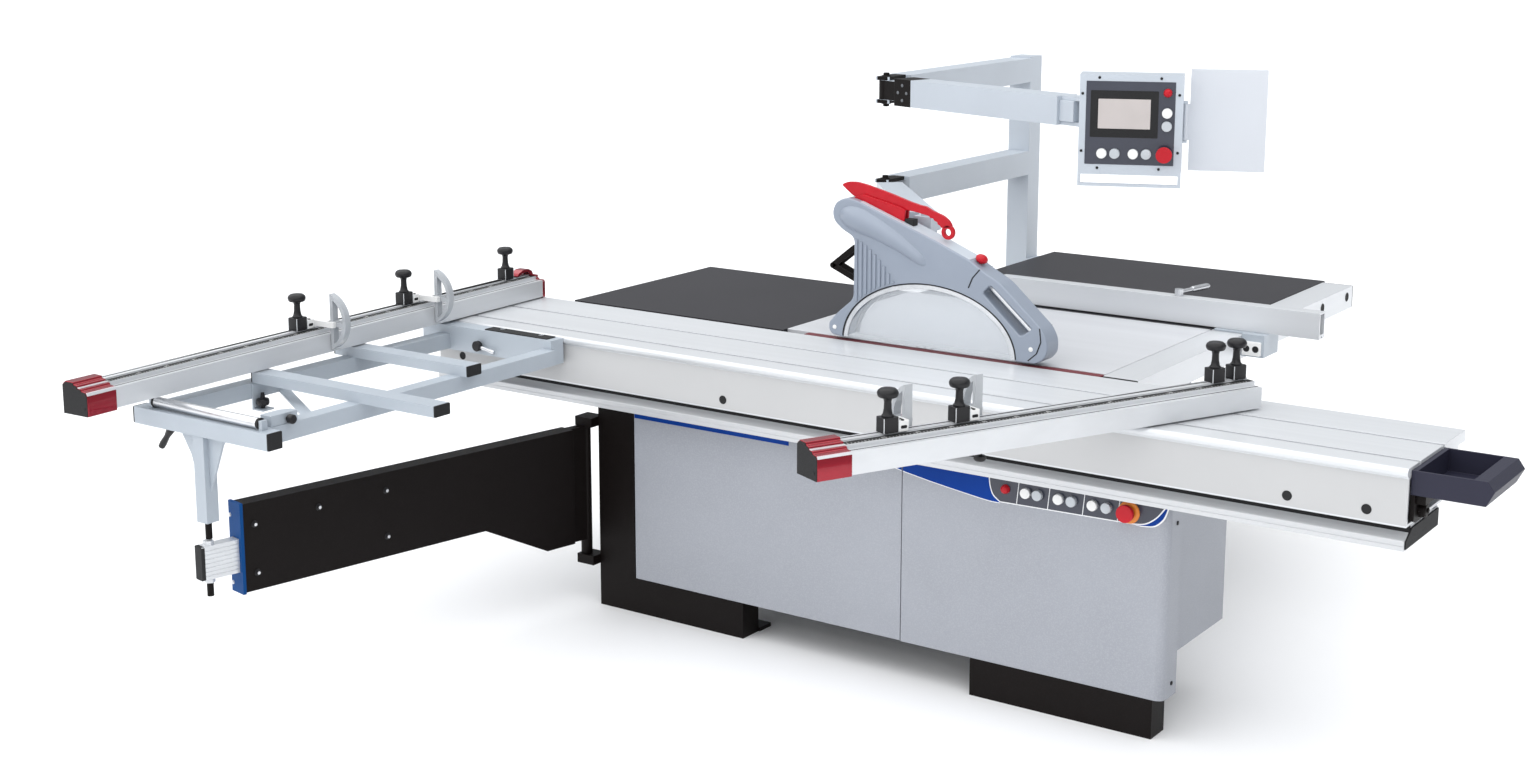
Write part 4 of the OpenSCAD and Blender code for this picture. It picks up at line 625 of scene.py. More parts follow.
SEAM_DEEP = 1.3
rim = arch(304, 200, 178, 2, 44)
arm_seams = [[(184, 1152), (160, 1124), (147, 1093)], [(386, 998), (391, 958), (378, 922), (350, 897)]]
seam = bmesh.new()
for y in (GUARD_FRONT - 0.7, GUARD_BACK - 0.6):
    for a, b in zip(rim, rim[1:]):
        under = [(x * 0.987 + 0.1, z - 3.2) for x, z in (b, a)]
        drawn(seam, [a, b, *under], "y", y, y + SEAM_DEEP)
    for line in arm_seams:
        for a, b in zip(line, line[1:]):
            drawn(seam, [a, b, (b[0] + 4, b[1] - 1), (a[0] + 4, a[1] - 1)], "y", y, y + SEAM_DEEP)
piece("guard_seams", "guard", black_rubber, seam, bevel=0.3, segments=1)
print(RIB_COUNT, "ribs on each side and", 2 * (len(rim) + 4), "strips of seam")

# %% [markdown]
# ## Trim of the guard
# A steel band holds the window in its arch, white plugs cover the screws, and a red knob locks the
# height, each a small part of its own colour. A pale strip along the crest is painted highlight, for the
# lit top face of the hood. Painting them onto the hood would leave no edge to catch the light, so each is
# a thin piece that stands proud of the hood.

# %% Trim of the guard
band = bmesh.new()
for y in (GUARD_FRONT + 1.4, GUARD_BACK - 3.9):
    drawn(band, arch(299.4, 195.4, 179, 1, 44) + arch(285, 183, 1, 179, 44), "y", y, y + 2.5)
piece("window_band", "guard", bright_steel, band, bevel=0.6, segments=1)
# Painted highlight: a pale strip where the hood's top face catches the light.
top_edge = [(-236, 1317.2), (-67, 1257.2), (39, 1220.2), (149, 1176.2)]
crest = [(x, z + 1) for x, z in top_edge] + [(x, z - 3) for x, z in top_edge[::-1]]
drawing("guard_crest_highlight", "guard", pale_paint, [crest], "y", GUARD_FRONT + 5, GUARD_BACK - 5,
        bevel=0.5, segments=1)
dots = bmesh.new()
for x, z in ((-322, 918), (361, 932)):
    for y, out in ((GUARD_FRONT, -1), (GUARD_BACK, 1)):
        turned(dots, facing([(7, 0), (7, 1.6), (5, 2.6), (0, 2.9)], out), (x, y, z), "y", 20)
piece("guard_screws", "guard", white_shell, dots, bevel=0)
knob = [(6, -14), (6, 4), (15, 6), (19, 12), (18.5, 19), (13, 25), (5, 27.5), (0, 28)]
turning("guard_knob", "guard", red_shell, knob, HERE, "z", 28, bevel=0, smooth=50,
        at=placed(166, GUARD_MIDDLE, 1163, 22, "Y"))
print("guard trimmed")

# %% [markdown]
# ## Post and folding links
# The guard hangs from a square post on its arm, and a pair of flat links behind it keeps it level. The
# links are stamped from strip, with round ends. A cut plate would do, but drawing each bar from its two
# pins keeps the pins in the outline's middle whatever the angle.

# %% Post and links behind the guard
LINK_HALF, LINK_THICK = 9, 5
blocks("guard_post", "guard", pale_paint, [((-80.6, -80.4, 1093), (-50.6, -50.4, 1288)),
                                           ((-80.6, -109.5, 1093), (-50.6, -50.4, 1123))], bevel=1.5)
link_pins = [Vector(pin) for pin in ((-262, 1172), (-343, 1108), (-256, 1072))]
links = bmesh.new()
for a, b in zip(link_pins, link_pins[1:]):
    run = (b - a).normalized() * LINK_HALF
    side = Vector((-run.y, run.x))
    bar = [a + side, a - run + side * 0.4, a - run - side * 0.4, a - side,
           b - side, b + run - side * 0.4, b + run + side * 0.4, b + side]
    for y in (GUARD_MIDDLE - 22, GUARD_MIDDLE + 17):
        drawn(links, bar, "y", y, y + LINK_THICK)
turned(links, [(5, -26), (5, 26)], (-343, GUARD_MIDDLE, 1108), "y", 16)
piece("guard_links", "guard", black_coat, links, bevel=0.8)
print("post and", len(link_pins) - 1, "pairs of links made")

# %% [markdown]
# ## The push stick and its holder
# The red stick lies in a slotted holder on the guard. Its outline is a plain curve, with finger grooves on
# the underside of the grip and a hanging ring at the end. Drawing the outline and rounding its edge gives
# the moulded look with few faces, where sculpting would need thousands.

# %% Push stick
stick_back = [(-322, 1361), (-300, 1371), (-268, 1373), (-230, 1367), (-142, 1346), (-74, 1327), (-37, 1319),
              (-22, 1318), (3, 1306), (39, 1295), (60, 1281), (71, 1262)]
stick_grooves = [(40, 1258), (33, 1258), (30, 1264), (21, 1267), (20, 1274), (9, 1277), (6, 1284), (-5, 1284),
                 (-9, 1290), (-22, 1292), (-53, 1298), (-107, 1303), (-237, 1318), (-278, 1329)]
hanging_ring = [(11, -6), (21, -6), (22.5, -4), (22.5, 4), (21, 6), (11, 6), (11, -6)]
stick = bmesh.new()
drawn(stick, rounded(stick_back + stick_grooves, 8, 3), "y", -153, -141)
turned(stick, hanging_ring, (56, -147, 1246), "y", 36)
stick_piece = piece("push_stick_red", "push_stick", red_shell, stick, bevel=2.2, segments=3)
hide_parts("push_stick")
holder_side = [(-276, 1309), (-262, 1304), (-100, 1254), (-91, 1262), (-87, 1302), (-106, 1310), (-236, 1338),
               (-270, 1326)]
holder = bmesh.new()
for y in (-161.3, -140.7):
    drawn(holder, holder_side, "y", y, y + 8)
drawn(holder, [(-262, 1305), (-100, 1255), (-100, 1292), (-262, 1312)], "y", -153.3, -140.7)
piece("stick_holder", "guard", red_shell, holder, bevel=1.6)
blocks("holder_block", "guard", black_rubber, [((-88, -161, 1238), (-58, -133, 1276))], bevel=2.0)
print("push stick and holder made")

# %% [markdown]
# ## Caps and clamps of the fences
# Both fences carry the same fittings: a red stepped end cap, and black clamp blocks with mushroom knobs.
# The CAD model holds them as plain solids inside the fence parts, and each piece is fitted closely over
# its solid. Copies of one object would share one mesh, but the caps differ in size, so each fitting is
# a function of its place.

# %% Caps and clamps
ON_CROSSCUT = placed(-1522, -676.3, 885, 2.7)
ON_MITRE = placed(1026, -367, 885, -24.9)
FENCE_HALF, FENCE_TOP, FENCE_MID, FENCE_LEDGE = 43.5, 72.0, 68.0, 57.0
BLOCK_X, BLOCK_TOP = -25.0, 110.3
MUSHROOM = [(15.5, 0), (15.5, 4), (12.5, 7), (10, 20), (9.2, 38), (11, 45.5), (14, 48), (22.8, 49.3),
            (25.4, 53), (26.9, 58.5), (26.7, 61.8), (24, 67), (19, 70.8), (10, 72), (0, 72.2)]


def clamp(name, body, y, at, lift=0.0):
    """A black clamp block with its mushroom knob, standing on a fence."""
    bm = bmesh.new()
    drawn(bm, box_outline(BLOCK_X - 18.6, y - 22.6, BLOCK_X + 18.6, y + 22.6, 5), "z",
          FENCE_TOP + 0.3, BLOCK_TOP + 0.6 - lift)
    turned(bm, MUSHROOM, (BLOCK_X, y, BLOCK_TOP - lift), "z", 36)
    return piece(name, body, knob_black, bm, bevel=1.2, at=at, smooth=40)


def end_cap(name, body, y, at, grow):
    """A glossy red end cap with steps on its top and a black end face."""
    w, t, ledge = FENCE_HALF + grow, FENCE_TOP + grow, FENCE_LEDGE + grow
    side = [(-w, -grow), (w, -grow), (w, FENCE_LEDGE - 6), (w - 5, ledge), (w - 22, ledge + 2),
            (w - 24, t - 8), (w - 38, t - 6), (w - 40, t), (w - 52, t + 2), (w - 54, t + 8),
            (-w + 12, t + 9), (-w, t)]
    drawing(name, body, anodised_red, [side], "y", y - 97.6, y - 0.2, bevel=1.6, segments=3, at=at)
    face = bmesh.new()
    drawn(face, [(x * 0.97, 2 + (z - 2) * 0.97) for x, z in side], "y", y - 99.6, y - 97.4)
    turned(face, [(3.5, 0), (3.5, -1.6), (0, -2)], (w - 12, y - 99.4, 16), "y", 14)
    piece(name + "_face", body, black_rubber, face, bevel=0.6, at=at)


end_cap("crosscut_cap", "crosscut_end", -1376, ON_CROSSCUT, 4.6)
end_cap("mitre_cap", "mitre", -1198, ON_MITRE, 2.6)
clamp("crosscut_clamp", "crosscut", 358, ON_CROSSCUT, 0.3)
for k, y in enumerate((0, 75)):
    clamp(f"mitre_clamp_{k + 1}", "mitre", y, ON_MITRE, 0.3)
thumb_screw = [(6, 0.4), (6, -10), (15, -12), (16, -20), (12, -25), (0, -26)]
turning("mitre_thumb_screw", "mitre", knob_black, thumb_screw, [(18, -804, 0)], "z", 24, bevel=0, at=ON_MITRE,
        smooth=50)
print("caps and clamps made")

# %% [markdown]
# ## The fence stops
# Each stop is a clamp with a white reader box beside it, through which the rule is read, and a steel pin
# on which the stop blade flips over. They could be copies of one object, but the blades of one fence point
# to the other side, so one loop makes all four, with the side as a sign.

# %% Stops with their reader boxes and pins
STOPS = (("crosscut_stop_a", -622, ON_CROSSCUT, 1), ("crosscut_stop_b", -150, ON_CROSSCUT, 1),
         ("mitre_stop_a", -1052, ON_MITRE, -1), ("mitre_stop_b", -839, ON_MITRE, -1))
FLIP_PIN = [(0, 64.4), (4.6, 64.4), (4.6, 88), (7.5, 88), (7.5, 91), (6, 92.4), (0, 92.4)]
for name, y, at, side in STOPS:
    clamp(name + "_clamp", name, y, at)
    box = bmesh.new()
    drawn(box, box_outline(BLOCK_X - 18.4, y + 22.2, BLOCK_X + 18.4, y + 50.4, 3), "z",
          FENCE_TOP + 0.3, FENCE_TOP + 27)
    block(box, (min(BLOCK_X, side * 69), y + 49.8, 77.6), (max(BLOCK_X, side * 69), y + 64.2, 94.4))
    piece(name + "_reader", name, white_shell, box, bevel=1.4, at=at)
    marks = bmesh.new()
    for start, end in ((-6.8, -6.1), (-43.9, -43.2)):
        drawn(marks, box_outline(y + 27, 80, y + 45, 88, 3.8), "x", start, end)
    drawn(marks, box_outline(-38, y + 29, -22, y + 44, 2), "z", 98.9, 99.4)
    turned(marks, [(4, 0), (4, 2.4), (2.5, 3.2), (0, 3.2)], (-13, y + 36, 98.8), "z", 16)
    piece(name + "_marks", name, black_rubber, marks, bevel=0.3, at=at)
    turning(name + "_pin", name, bright_steel, FLIP_PIN, [(side * 57.5, y, 86)], "y", 20, bevel=0.4, at=at)
print(len(STOPS), "stops made")

# %% [markdown]
# ## The red hook
# The far end of the cross-cut fence is closed by a red casting with a strap that hooks over the top. It
# could be bent from a curve, but it is two flat shapes in different planes, so each is drawn as an
# outline and both share one mesh and one wide bevel.

# %% Hook at the far end of the cross-cut fence
hook_plate = [(-44, -4), (44, -4), (44, 54), (38, 58), (20, 58), (14, 64), (14, 72), (-44, 74)]
hook_strap = [(396, 74), (404, 84), (430, 94), (458, 94), (478, 84), (484.6, 68), (484.6, 40), (472, 40),
              (470, 72), (456, 84), (432, 84), (410, 76)]
hook = bmesh.new()
drawn(hook, rounded(hook_plate, 5, 4), "y", 471.8, 484.8)
drawn(hook, rounded(hook_strap, 4, 3), "x", -40, -6)
piece("crosscut_hook", "crosscut", anodised_red, hook, bevel=2.4, segments=3, at=ON_CROSSCUT)
print("hook made")

# %% [markdown]
# ## Slots and scales on the fences
# A fence is an extrusion with a T-slot along its back and a steel rule along its middle step. Rules
# have a tick each centimetre, a longer one at five and a numbered one at ten. Digits could be text
# objects, but seven short strokes per digit are enough at this size and make light meshes. The slots
# are not cut: thin black strips lie where they open, as painted shade.

# %% Rules
STROKES = {"0": "abcdef", "1": "bc", "2": "abged", "3": "abgcd", "4": "fgbc", "5": "afgcd", "6": "afgedc",
           "7": "abc", "8": "abcdefg", "9": "abcdfg"}
SEGMENTS = {"a": (0, 2, 1, 2), "b": (1, 1, 1, 2), "c": (1, 0, 1, 1), "d": (0, 0, 1, 0), "e": (0, 0, 0, 1),
            "f": (0, 1, 0, 2), "g": (0, 1, 1, 1)}
DIGIT_SIZE, DIGIT_STEP, STROKE_HALF, INK = 3.0, 1.8, 0.35, 0.25
TICK_STEP, TICK_HALF, TICK_END = 10, 0.6, 11


def digits(bm, number, x, y, z):
    """Stroke digits lying on a fence, read from its front side."""
    for k, digit in enumerate(str(number)):
        for stroke in STROKES[digit]:
            u0, v0, u1, v1 = SEGMENTS[stroke]
            left, right = (y + (k * DIGIT_STEP + u) * DIGIT_SIZE for u in (u0, u1))
            top, foot = (x - v * DIGIT_SIZE for v in (v1, v0))
            block(bm, (top - STROKE_HALF, left - STROKE_HALF, z),
                  (foot + STROKE_HALF, right + STROKE_HALF, z + INK))


def rule(name, body, low, high, at):
    """A dark rule with pale ticks, and black strips beside it that are painted shade in the fence's slots."""
    # The first strip is the dark rule. The other two are painted shade where the slots open.
    blocks(name + "_rule_and_slot_shade", body, black_rubber, [
        ((-11, low, FENCE_MID - 0.2), (12, high, FENCE_MID + 0.5)),
        ((-35, low, FENCE_TOP - 0.2), (-29, high, FENCE_TOP + 0.22)),
        ((26, low, FENCE_LEDGE - 0.2), (30, high, FENCE_LEDGE + 0.25))], bevel=0, at=at)
    ticks = bmesh.new()
    count = int((high - low - 2 * TICK_STEP) // TICK_STEP)
    for k in range(count):
        y = low + TICK_STEP + TICK_STEP * k
        long = 11 if k % 10 == 0 else (8 if k % 5 == 0 else 5)
        block(ticks, (TICK_END - long, y - TICK_HALF, FENCE_MID + 0.4),
              (TICK_END, y + TICK_HALF, FENCE_MID + 0.8))
        if k % 10 == 0 and k:
            digits(ticks, k, 4.5, y + 3, FENCE_MID + 0.5)
    piece(name + "_ticks", body, white_shell, ticks, bevel=0, at=at)
    return count


print("ticks:", rule("crosscut_rule", "crosscut", -1375, 471, ON_CROSSCUT),
      rule("mitre_rule", "mitre", -1197, 107, ON_MITRE))

# %% [markdown]
# ## The printed fascia and the blue sweep
# The buttons sit in a dark printed panel with white lines between their groups, and a blue sweep runs
# from it along the top of the cabinet. Printed film is thin, but real: each colour is a sheet of a few
# tenths of a millimetre, stacked in order, so that nothing flickers and the shapes stay crisp. The edges
# are smooth lines through a few points, where a traced outline would need dozens.

# %% Film and smooth lines
FRONT = -577.0
navy_film = finish("navy_film", "dark_plastic", (0.028, 0.032, 0.052), 0.3, tone=0.06, patch=0.1,
                   grain=0.0008, relief=0.05, coat=0.3)
blue_film = finish("blue_film", "blue_plate", (0.001, 0.039, 0.258), 0.4, tone=0.12, patch=0.3, grain=0.0008,
                   relief=0.05, shine=0.12)
white_film = finish("white_film", "white_plastic", (0.82, 0.83, 0.84), 0.4, tone=0.02, patch=0.1,
                    grain=0.0008, relief=0.04)


def film(name, body, look, outline, level):
    """A thin printed sheet on the cabinet's front, stacked by its level."""
    return drawing(name, body, look, [outline], "y", FRONT - 0.3 - 0.3 * level, FRONT + 0.1, bevel=0)


def bent(points, steps=10):
    """A smooth line through the given points."""
    out = []
    ends = [points[0]] + points + [points[-1]]
    for k in range(1, len(ends) - 2):
        p0, p1, p2, p3 = (Vector(q) for q in ends[k - 1:k + 3])
        for s in range(steps):
            t = s / steps
            out.append(tuple(0.5 * (2 * p1 + (p2 - p0) * t + (2 * p0 - 5 * p1 + 4 * p2 - p3) * t * t
                                    + (3 * p1 - p0 - 3 * p2 + p3) * t ** 3)))
    return out + [points[-1]]


print("a line through 4 points has", len(bent([(0, 0), (1, 2), (2, 2), (3, 0)])), "points")

# %% [markdown]
# ## The fascia
# Behind the row of buttons lies a white sheet that shows as a thin border, and a dark one on it. The dark
# sheet could be solid behind the caps, but the buttons sink in when they are pressed, so both sheets have
# round openings. A blue crescent closes the panel on the right.

# %% Fascia
left_edge = bent([(444, 653), (448, 626), (458, 602), (480, 585)])
right_edge = bent([(880, 592), (918, 598), (950, 620), (976, 653)])
inner_left = bent([(447.5, 651), (451, 627), (461, 604), (481.5, 588)])
inner_right = bent([(880, 595), (916, 601), (947, 622), (970, 651)])
border = film("fascia_border", "base", white_film, left_edge + right_edge, 1)
fascia = film("fascia_panel", "base", navy_film, inner_left + inner_right, 2)
for sheet in (border, fascia):
    wells = bmesh.new()
    for x in (563, 599, 663, 702, 765, 806, 870):
        turned(wells, [(15.2, FRONT - 4), (15.2, FRONT + 4)], (x, 0, 626), "y", 32)
    cut(sheet, wells)
crescent_edge = bent([(905, 590), (945, 596), (972, 620), (984, 653)])
crescent = bent([(908, 593), (943, 599), (968, 622), (980, 652)])
film("fascia_crescent_edge", "base", white_film, crescent_edge + right_edge[::-1], 0)
film("fascia_crescent", "base", blue_film, crescent + right_edge[::-1], 0.5)
dividers = [[(x - 1.1, 590), (x + 1.1, 590), (x + 7.1, 651), (x + 4.9, 651)] for x in (533, 628, 733, 836)]
drawing("fascia_lines", "base", white_film, dividers, "y", FRONT - 1.2, FRONT - 0.8, bevel=0)
print("fascia printed with", len(dividers), "dividing lines")

# %% [markdown]
# ## The blue sweep
# The sweep starts beside the fascia, thins out along the cabinet and runs on over the door. It looks like
# one print, but the door opens, so the sheet is parted at the gap and each part rides on its own body.

# %% Sweep and stripe
sweep_low = bent([(166, 624.5), (260, 609), (360, 595), (440, 585), (480, 584)])
sweep_back = left_edge[::-1] + [(166, 653)]
film("sweep_edge", "base", white_film, [(x, z - 2.2) for x, z in sweep_low] + sweep_back, 0)
film("sweep_blue", "base", blue_film, sweep_low + sweep_back, 0.5)
film("sweep_tip_edge", "door", white_film, [(82, 645), (110, 634), (162, 623), (162, 653), (60, 653)], 0)
film("sweep_tip", "door", blue_film, [(86, 646), (112, 636.5), (162, 625.5), (162, 653), (66, 653)], 0.5)
film("door_stripe", "door", blue_film, [(-809, 637), (-228, 637), (-228, 653), (-809, 653)], 0.5)
print("sweep printed")

# %% [markdown]
# ## Lamp, stop ring and screws of the cover
# Beside the buttons sit a red signal lamp with a domed lens and an amber ring round the emergency stop.
# Flat discs would look printed, and a lens needs its dome to catch a highlight, so both are turned shapes.
# Two black screws hold the cover at its right side.

# %% Lamp, ring and screws
amber = finish("amber_plastic", "red_plastic", (0.75, 0.22, 0.02), 0.35, tone=0.08, patch=0.02, grain=0.001,
               relief=0.08)
cabinet_lens = [(13.4, 0), (13.4, -4), (11.8, -6), (11.6, -10), (8, -13), (3, -14.4), (0, -14.6)]
stop_collar = [(17, 0), (31, 0), (31, -3), (27, -6.5), (19, -7.5), (17, -6), (17, 0)]
turning("cabinet_lamp", "base", red_shell, cabinet_lens, [(498, FRONT, 626)], "y", 28, bevel=0, smooth=50)
turning("stop_ring", "base", amber, stop_collar, [(870, FRONT, 624)], "y", 36, bevel=0.4)
turning("cover_screws", "base", knob_black, [(6, -0.4), (6, 2.2), (4.6, 3.2), (0, 3.4)],
        [(984.5, -522, z) for z in (150, 600)], "x", 18, bevel=0.2)
print("cover trimmed")

# %% [markdown]
# ## The control panel
# The hanging box has a dark printed plate held by small black screws, a black bezel with a pale screen, and
# the row of buttons that the CAD model already carries. Places on it were read as shares of its width and
# height, so two helpers take shares. The plate has a round opening for each button, as on the cabinet.

# %% Control panel face
ON_PANEL = placed(290.1449, 291.6128, 0, 22)
PANEL_FRONT, PANEL_LEFT, PANEL_TOP, PANEL_WIDE, PANEL_TALL = -130.0, -18, 1711, 307, 293


def on_plate(u, v):
    """A share of the panel's width and of its height from the top, as local x and z."""
    return PANEL_LEFT + u * PANEL_WIDE, PANEL_TOP - v * PANEL_TALL


def plate(name, look, u0, v0, u1, v1, level, radius=2.0):
    """A rounded sheet on the panel's front."""
    (x0, z1), (x1, z0) = on_plate(u0, v0), on_plate(u1, v1)
    return drawing(name, "panel", look, [box_outline(x0, z0, x1, z1, radius)], "y",
                   PANEL_FRONT - level, PANEL_FRONT + 0.1, bevel=0.4, segments=1, at=ON_PANEL)


screen_glass = finish("screen_film", "white_plastic", (0.50, 0.455, 0.44), 0.25, tone=0.03, patch=0.08,
                      grain=0.0006, relief=0.02, coat=0.5)
panel_face = plate("panel_plate", navy_film, 0.065, 0.07, 0.925, 0.925, 1.2)
wells = bmesh.new()
button_shares = [(0.85, 0.385), (0.85, 0.52), (0.23, 0.81), (0.356, 0.81), (0.534, 0.81), (0.66, 0.81),
                 (0.835, 0.805)]
for u, v in button_shares:
    x, z = on_plate(u, v)
    turned(wells, [(15.7, PANEL_FRONT - 6), (15.7, PANEL_FRONT + 4)], (x, 0, z), "y", 32)
cut(panel_face, wells, ON_PANEL)
plate("panel_bezel", black_rubber, 0.11, 0.165, 0.765, 0.645, 2.6, 3.0)
plate("panel_screen", screen_glass, 0.185, 0.25, 0.69, 0.555, 3.0, 1.5)
print("panel face made")

# %% [markdown]
# ## Screws and lamp of the panel
# Eight small screws hold the box's front, and a red lamp stands above the buttons. They are turned like
# those of the cabinet. The screws sit in pairs, so their places are given as shares of the box, pair by pair,
# and one mesh holds them all.

# %% Screws and lamp of the panel
panel_screws = [(u, v) for v in (0.035, 0.963) for u in (0.19, 0.785)]
panel_screws += [(u, v) for u in (0.03, 0.962) for v in (0.2, 0.79)]
screw_places = [(x, PANEL_FRONT, z) for x, z in (on_plate(u, v) for u, v in panel_screws)]
turning("panel_screws", "panel", black_rubber, [(4.2, 0), (4.2, -1.6), (3, -2.8), (0, -3.1)], screw_places,
        "y", 16, bevel=0, at=ON_PANEL)
panel_lens = [(13, 0), (13, -3.5), (11.6, -5.5), (11.4, -9), (8, -12), (3, -13.4), (0, -13.6)]
x, z = on_plate(0.85, 0.18)
turning("panel_lamp", "panel", red_shell, panel_lens, [(x, PANEL_FRONT - 1, z)], "y", 28,
        bevel=0, at=ON_PANEL, smooth=50)
print(len(screw_places), "screws and a lamp made")

# %% [markdown]
# ## Elbows of the column
# Two arms swing on the column: the guard's below and the panel's above. Each elbow is a black fork, which is
# welded to the column, and a hub between its plates, which turns with the arm. Fork and hub could be one
# piece at rest, but then the elbow would tear as soon as the arm swings.

# %% Elbows
ELBOW = (-604.0, 564.98)
GUARD_ARM_TURN, PANEL_ARM_TURN = -49.5, -17
ELBOW_TALL, PLATE_THICK = 90, 12.5
HEX_BOLT = [(19, 0), (19, 3), (12, 4), (12, 11), (9, 12.5), (0, 12.5)]
ARMS = (("guard", "guard_arm", 1186, GUARD_ARM_TURN), ("panel", "panel_arm", 1538, PANEL_ARM_TURN))
for name, body, z0, turn in ARMS:
    fork = bmesh.new()
    for low, high in ((z0 - 0.6, z0 + 12.1), (z0 + 77.9, z0 + 90.6)):
        drawn(fork, box_outline(-26.6, -26.6, 26.6, 90.2, 10), "z", low, high)
    for level, out in ((z0 + ELBOW_TALL, 1), (z0, -1)):
        turned(fork, facing(HEX_BOLT, out), (0, 0, level), "z", 6)
    piece(name + "_elbow_fork", "base", black_coat, fork, bevel=1.5, at=placed(*ELBOW, 0, 0))
    low, high = z0 + PLATE_THICK, z0 + ELBOW_TALL - PLATE_THICK
    hub = bmesh.new()
    turned(hub, [(24.6, low), (24.6, high)], (0, 0, 0), "z", 32)
    block(hub, (0, -20.6, low), (89.8, 20.6, high))
    piece(name + "_elbow_hub", body, black_coat, hub, bevel=1.2, at=placed(*ELBOW, 0, turn))
print("two elbows made")

# %% [markdown]
# ## Sleeve and neck of the panel's arm
# The panel's arm starts in a black sleeve with four screws and ends in a narrower neck with a pivot bolt. All
# of them are made in the arm's own direction and turned into place together, so no slanted points are needed.

# %% Sleeve, neck and pivot
ON_PANEL_ARM = placed(*ELBOW, 0, PANEL_ARM_TURN)
blocks("panel_elbow_sleeve", "panel_arm", black_coat, [((89.4, -44.7, 1537.3), (172, 44.7, 1628.7))],
       bevel=2.0, at=ON_PANEL_ARM)
turning("panel_elbow_screws", "panel_arm", machine_grey, [(5.5, 0.3), (5.5, -1.2), (4, -1.8), (0, -1.8)],
        [(s, -44.7, z) for s, z in ((131, 1608), (110, 1583), (152, 1583), (131, 1558))], "y", 16, bevel=0,
        at=ON_PANEL_ARM)
blocks("panel_neck", "panel_arm", pale_paint, [((844.6, -34, 1550.2), (905, 34, 1615.8))],
       bevel=2.0, at=ON_PANEL_ARM)
pivot_bolt = [(20, 1628), (20, 1632), (12, 1633), (12, 1640), (9, 1641.5), (0, 1641.5)]
turning("panel_pivot_bolt", "panel_arm", black_coat, pivot_bolt, HERE, "z", 6, bevel=0.8, at=ON_PANEL)
print("panel arm trimmed")

# %% [markdown]
# ## Caps of the outrigger
# Small black parts tell the scale of a machine. The outrigger's square tubes are closed by plastic caps, and
# the roller by round ends. A dark face on the tube would look flat, so each cap has its own edge, a few
# millimetres thick, with rounded corners.

# %% Caps and roller ends
CAP_SUNK, CAP_THICK = 0.5, 5
caps = bmesh.new()
for y, x, out in ((-1504, -741, 1), (-1504, -1461, -1), (-1099, -997, 1), (-1099, -1543, -1)):
    drawn(caps, box_outline(y - 30.3, 847.7, y + 30.3, 880.3, 4), "x",
          x - CAP_SUNK * out, x + CAP_THICK * out)
for x, out in ((-980, 1), (-1515, -1)):
    drawn(caps, box_outline(-1913.6, 800.7, -1863, 848.3, 4), "x", x - CAP_SUNK * out, x + CAP_THICK * out)
piece("outrigger_caps", "outrigger", black_rubber, caps, bevel=1.2)
roller_ring = [(15.3, -9), (15.3, 0.1), (8.5, 0.1), (8.5, -9), (15.3, -9)]
ends = bmesh.new()
for x, out in ((-1026, 1), (-1455, -1)):
    turned(ends, facing(roller_ring, out), (x, -1888.3, 865), "x", 32)
piece("roller_ends", "roller", black_rubber, ends, bevel=0.4)
print("outrigger capped")

# %% [markdown]
# ## Knobs, brackets and levers of the outrigger
# Three knobs lock the outrigger and its roller, and two levers clamp its beams. Knobs and levers are turned
# profiles, the levers leaning as in the photograph, and the brackets that carry them are folded plates.
# Spheres and cylinders would be quicker, but a knob is known by its waist and rim.

# %% Knobs, brackets and levers
grips = bmesh.new()
turned(grips, [(6, 0), (6, 8), (17, 9), (19, 14), (19, 24), (17, 28), (8, 30), (5, 46), (0, 46)],
       (-1438, -1518, 773), "z", 24)
turned(grips, [(6, 0), (6, 8), (13, 9), (13, 24), (10, 27), (0, 27)], (-1024, -1800, 862), "x", 20)
turned(grips, [(6, 0), (6, -10), (17, -11), (17, -24), (14, -27), (0, -27)], (-1328, -705.3, 827), "y", 24)
piece("outrigger_knobs", "outrigger", knob_black, grips, bevel=0.8)
brackets = bmesh.new()
block(brackets, (-1460.3, -1540, 768), (-1455, -1496, 846))
block(brackets, (-1460.3, -1540, 768), (-1415, -1496, 773))
roller_bracket = [(-1066, -1856), (-1024, -1856), (-1024, -1762), (-1050, -1762), (-1066, -1790)]
drawn(brackets, roller_bracket, "z", 847.8, 878)
piece("outrigger_brackets", "outrigger", silver_paint, brackets, bevel=1.2)
slim_lever = [(5, 0), (5.5, 50), (7, 62), (6, 72), (0, 73)]
stout_lever = [(11, -6), (13, 0), (11, 14), (8, 34), (10, 62), (9, 76), (0, 79)]
turning("beam_lever", "outrigger", bright_steel, slim_lever, HERE, "z", 16,
        bevel=0, at=placed(-1328, -722, 827, 100, "Y"))
turning("bar_lever", "outrigger", knob_black, stout_lever, HERE, "z", 18,
        bevel=0, at=placed(-1391, -1888, 799, -142, "Y"))
print("outrigger trimmed")

# %% [markdown]
# ## Gussets, brace and plate of the outrigger
# The leg is stiffened by two triangles under the end bar, a flat brace crosses the frame, and a black plate
# with two steel eyes lies on the inner beam. They could be folded planes, but a real plate shows its
# thickness at the edge, so each is an outline with a depth.

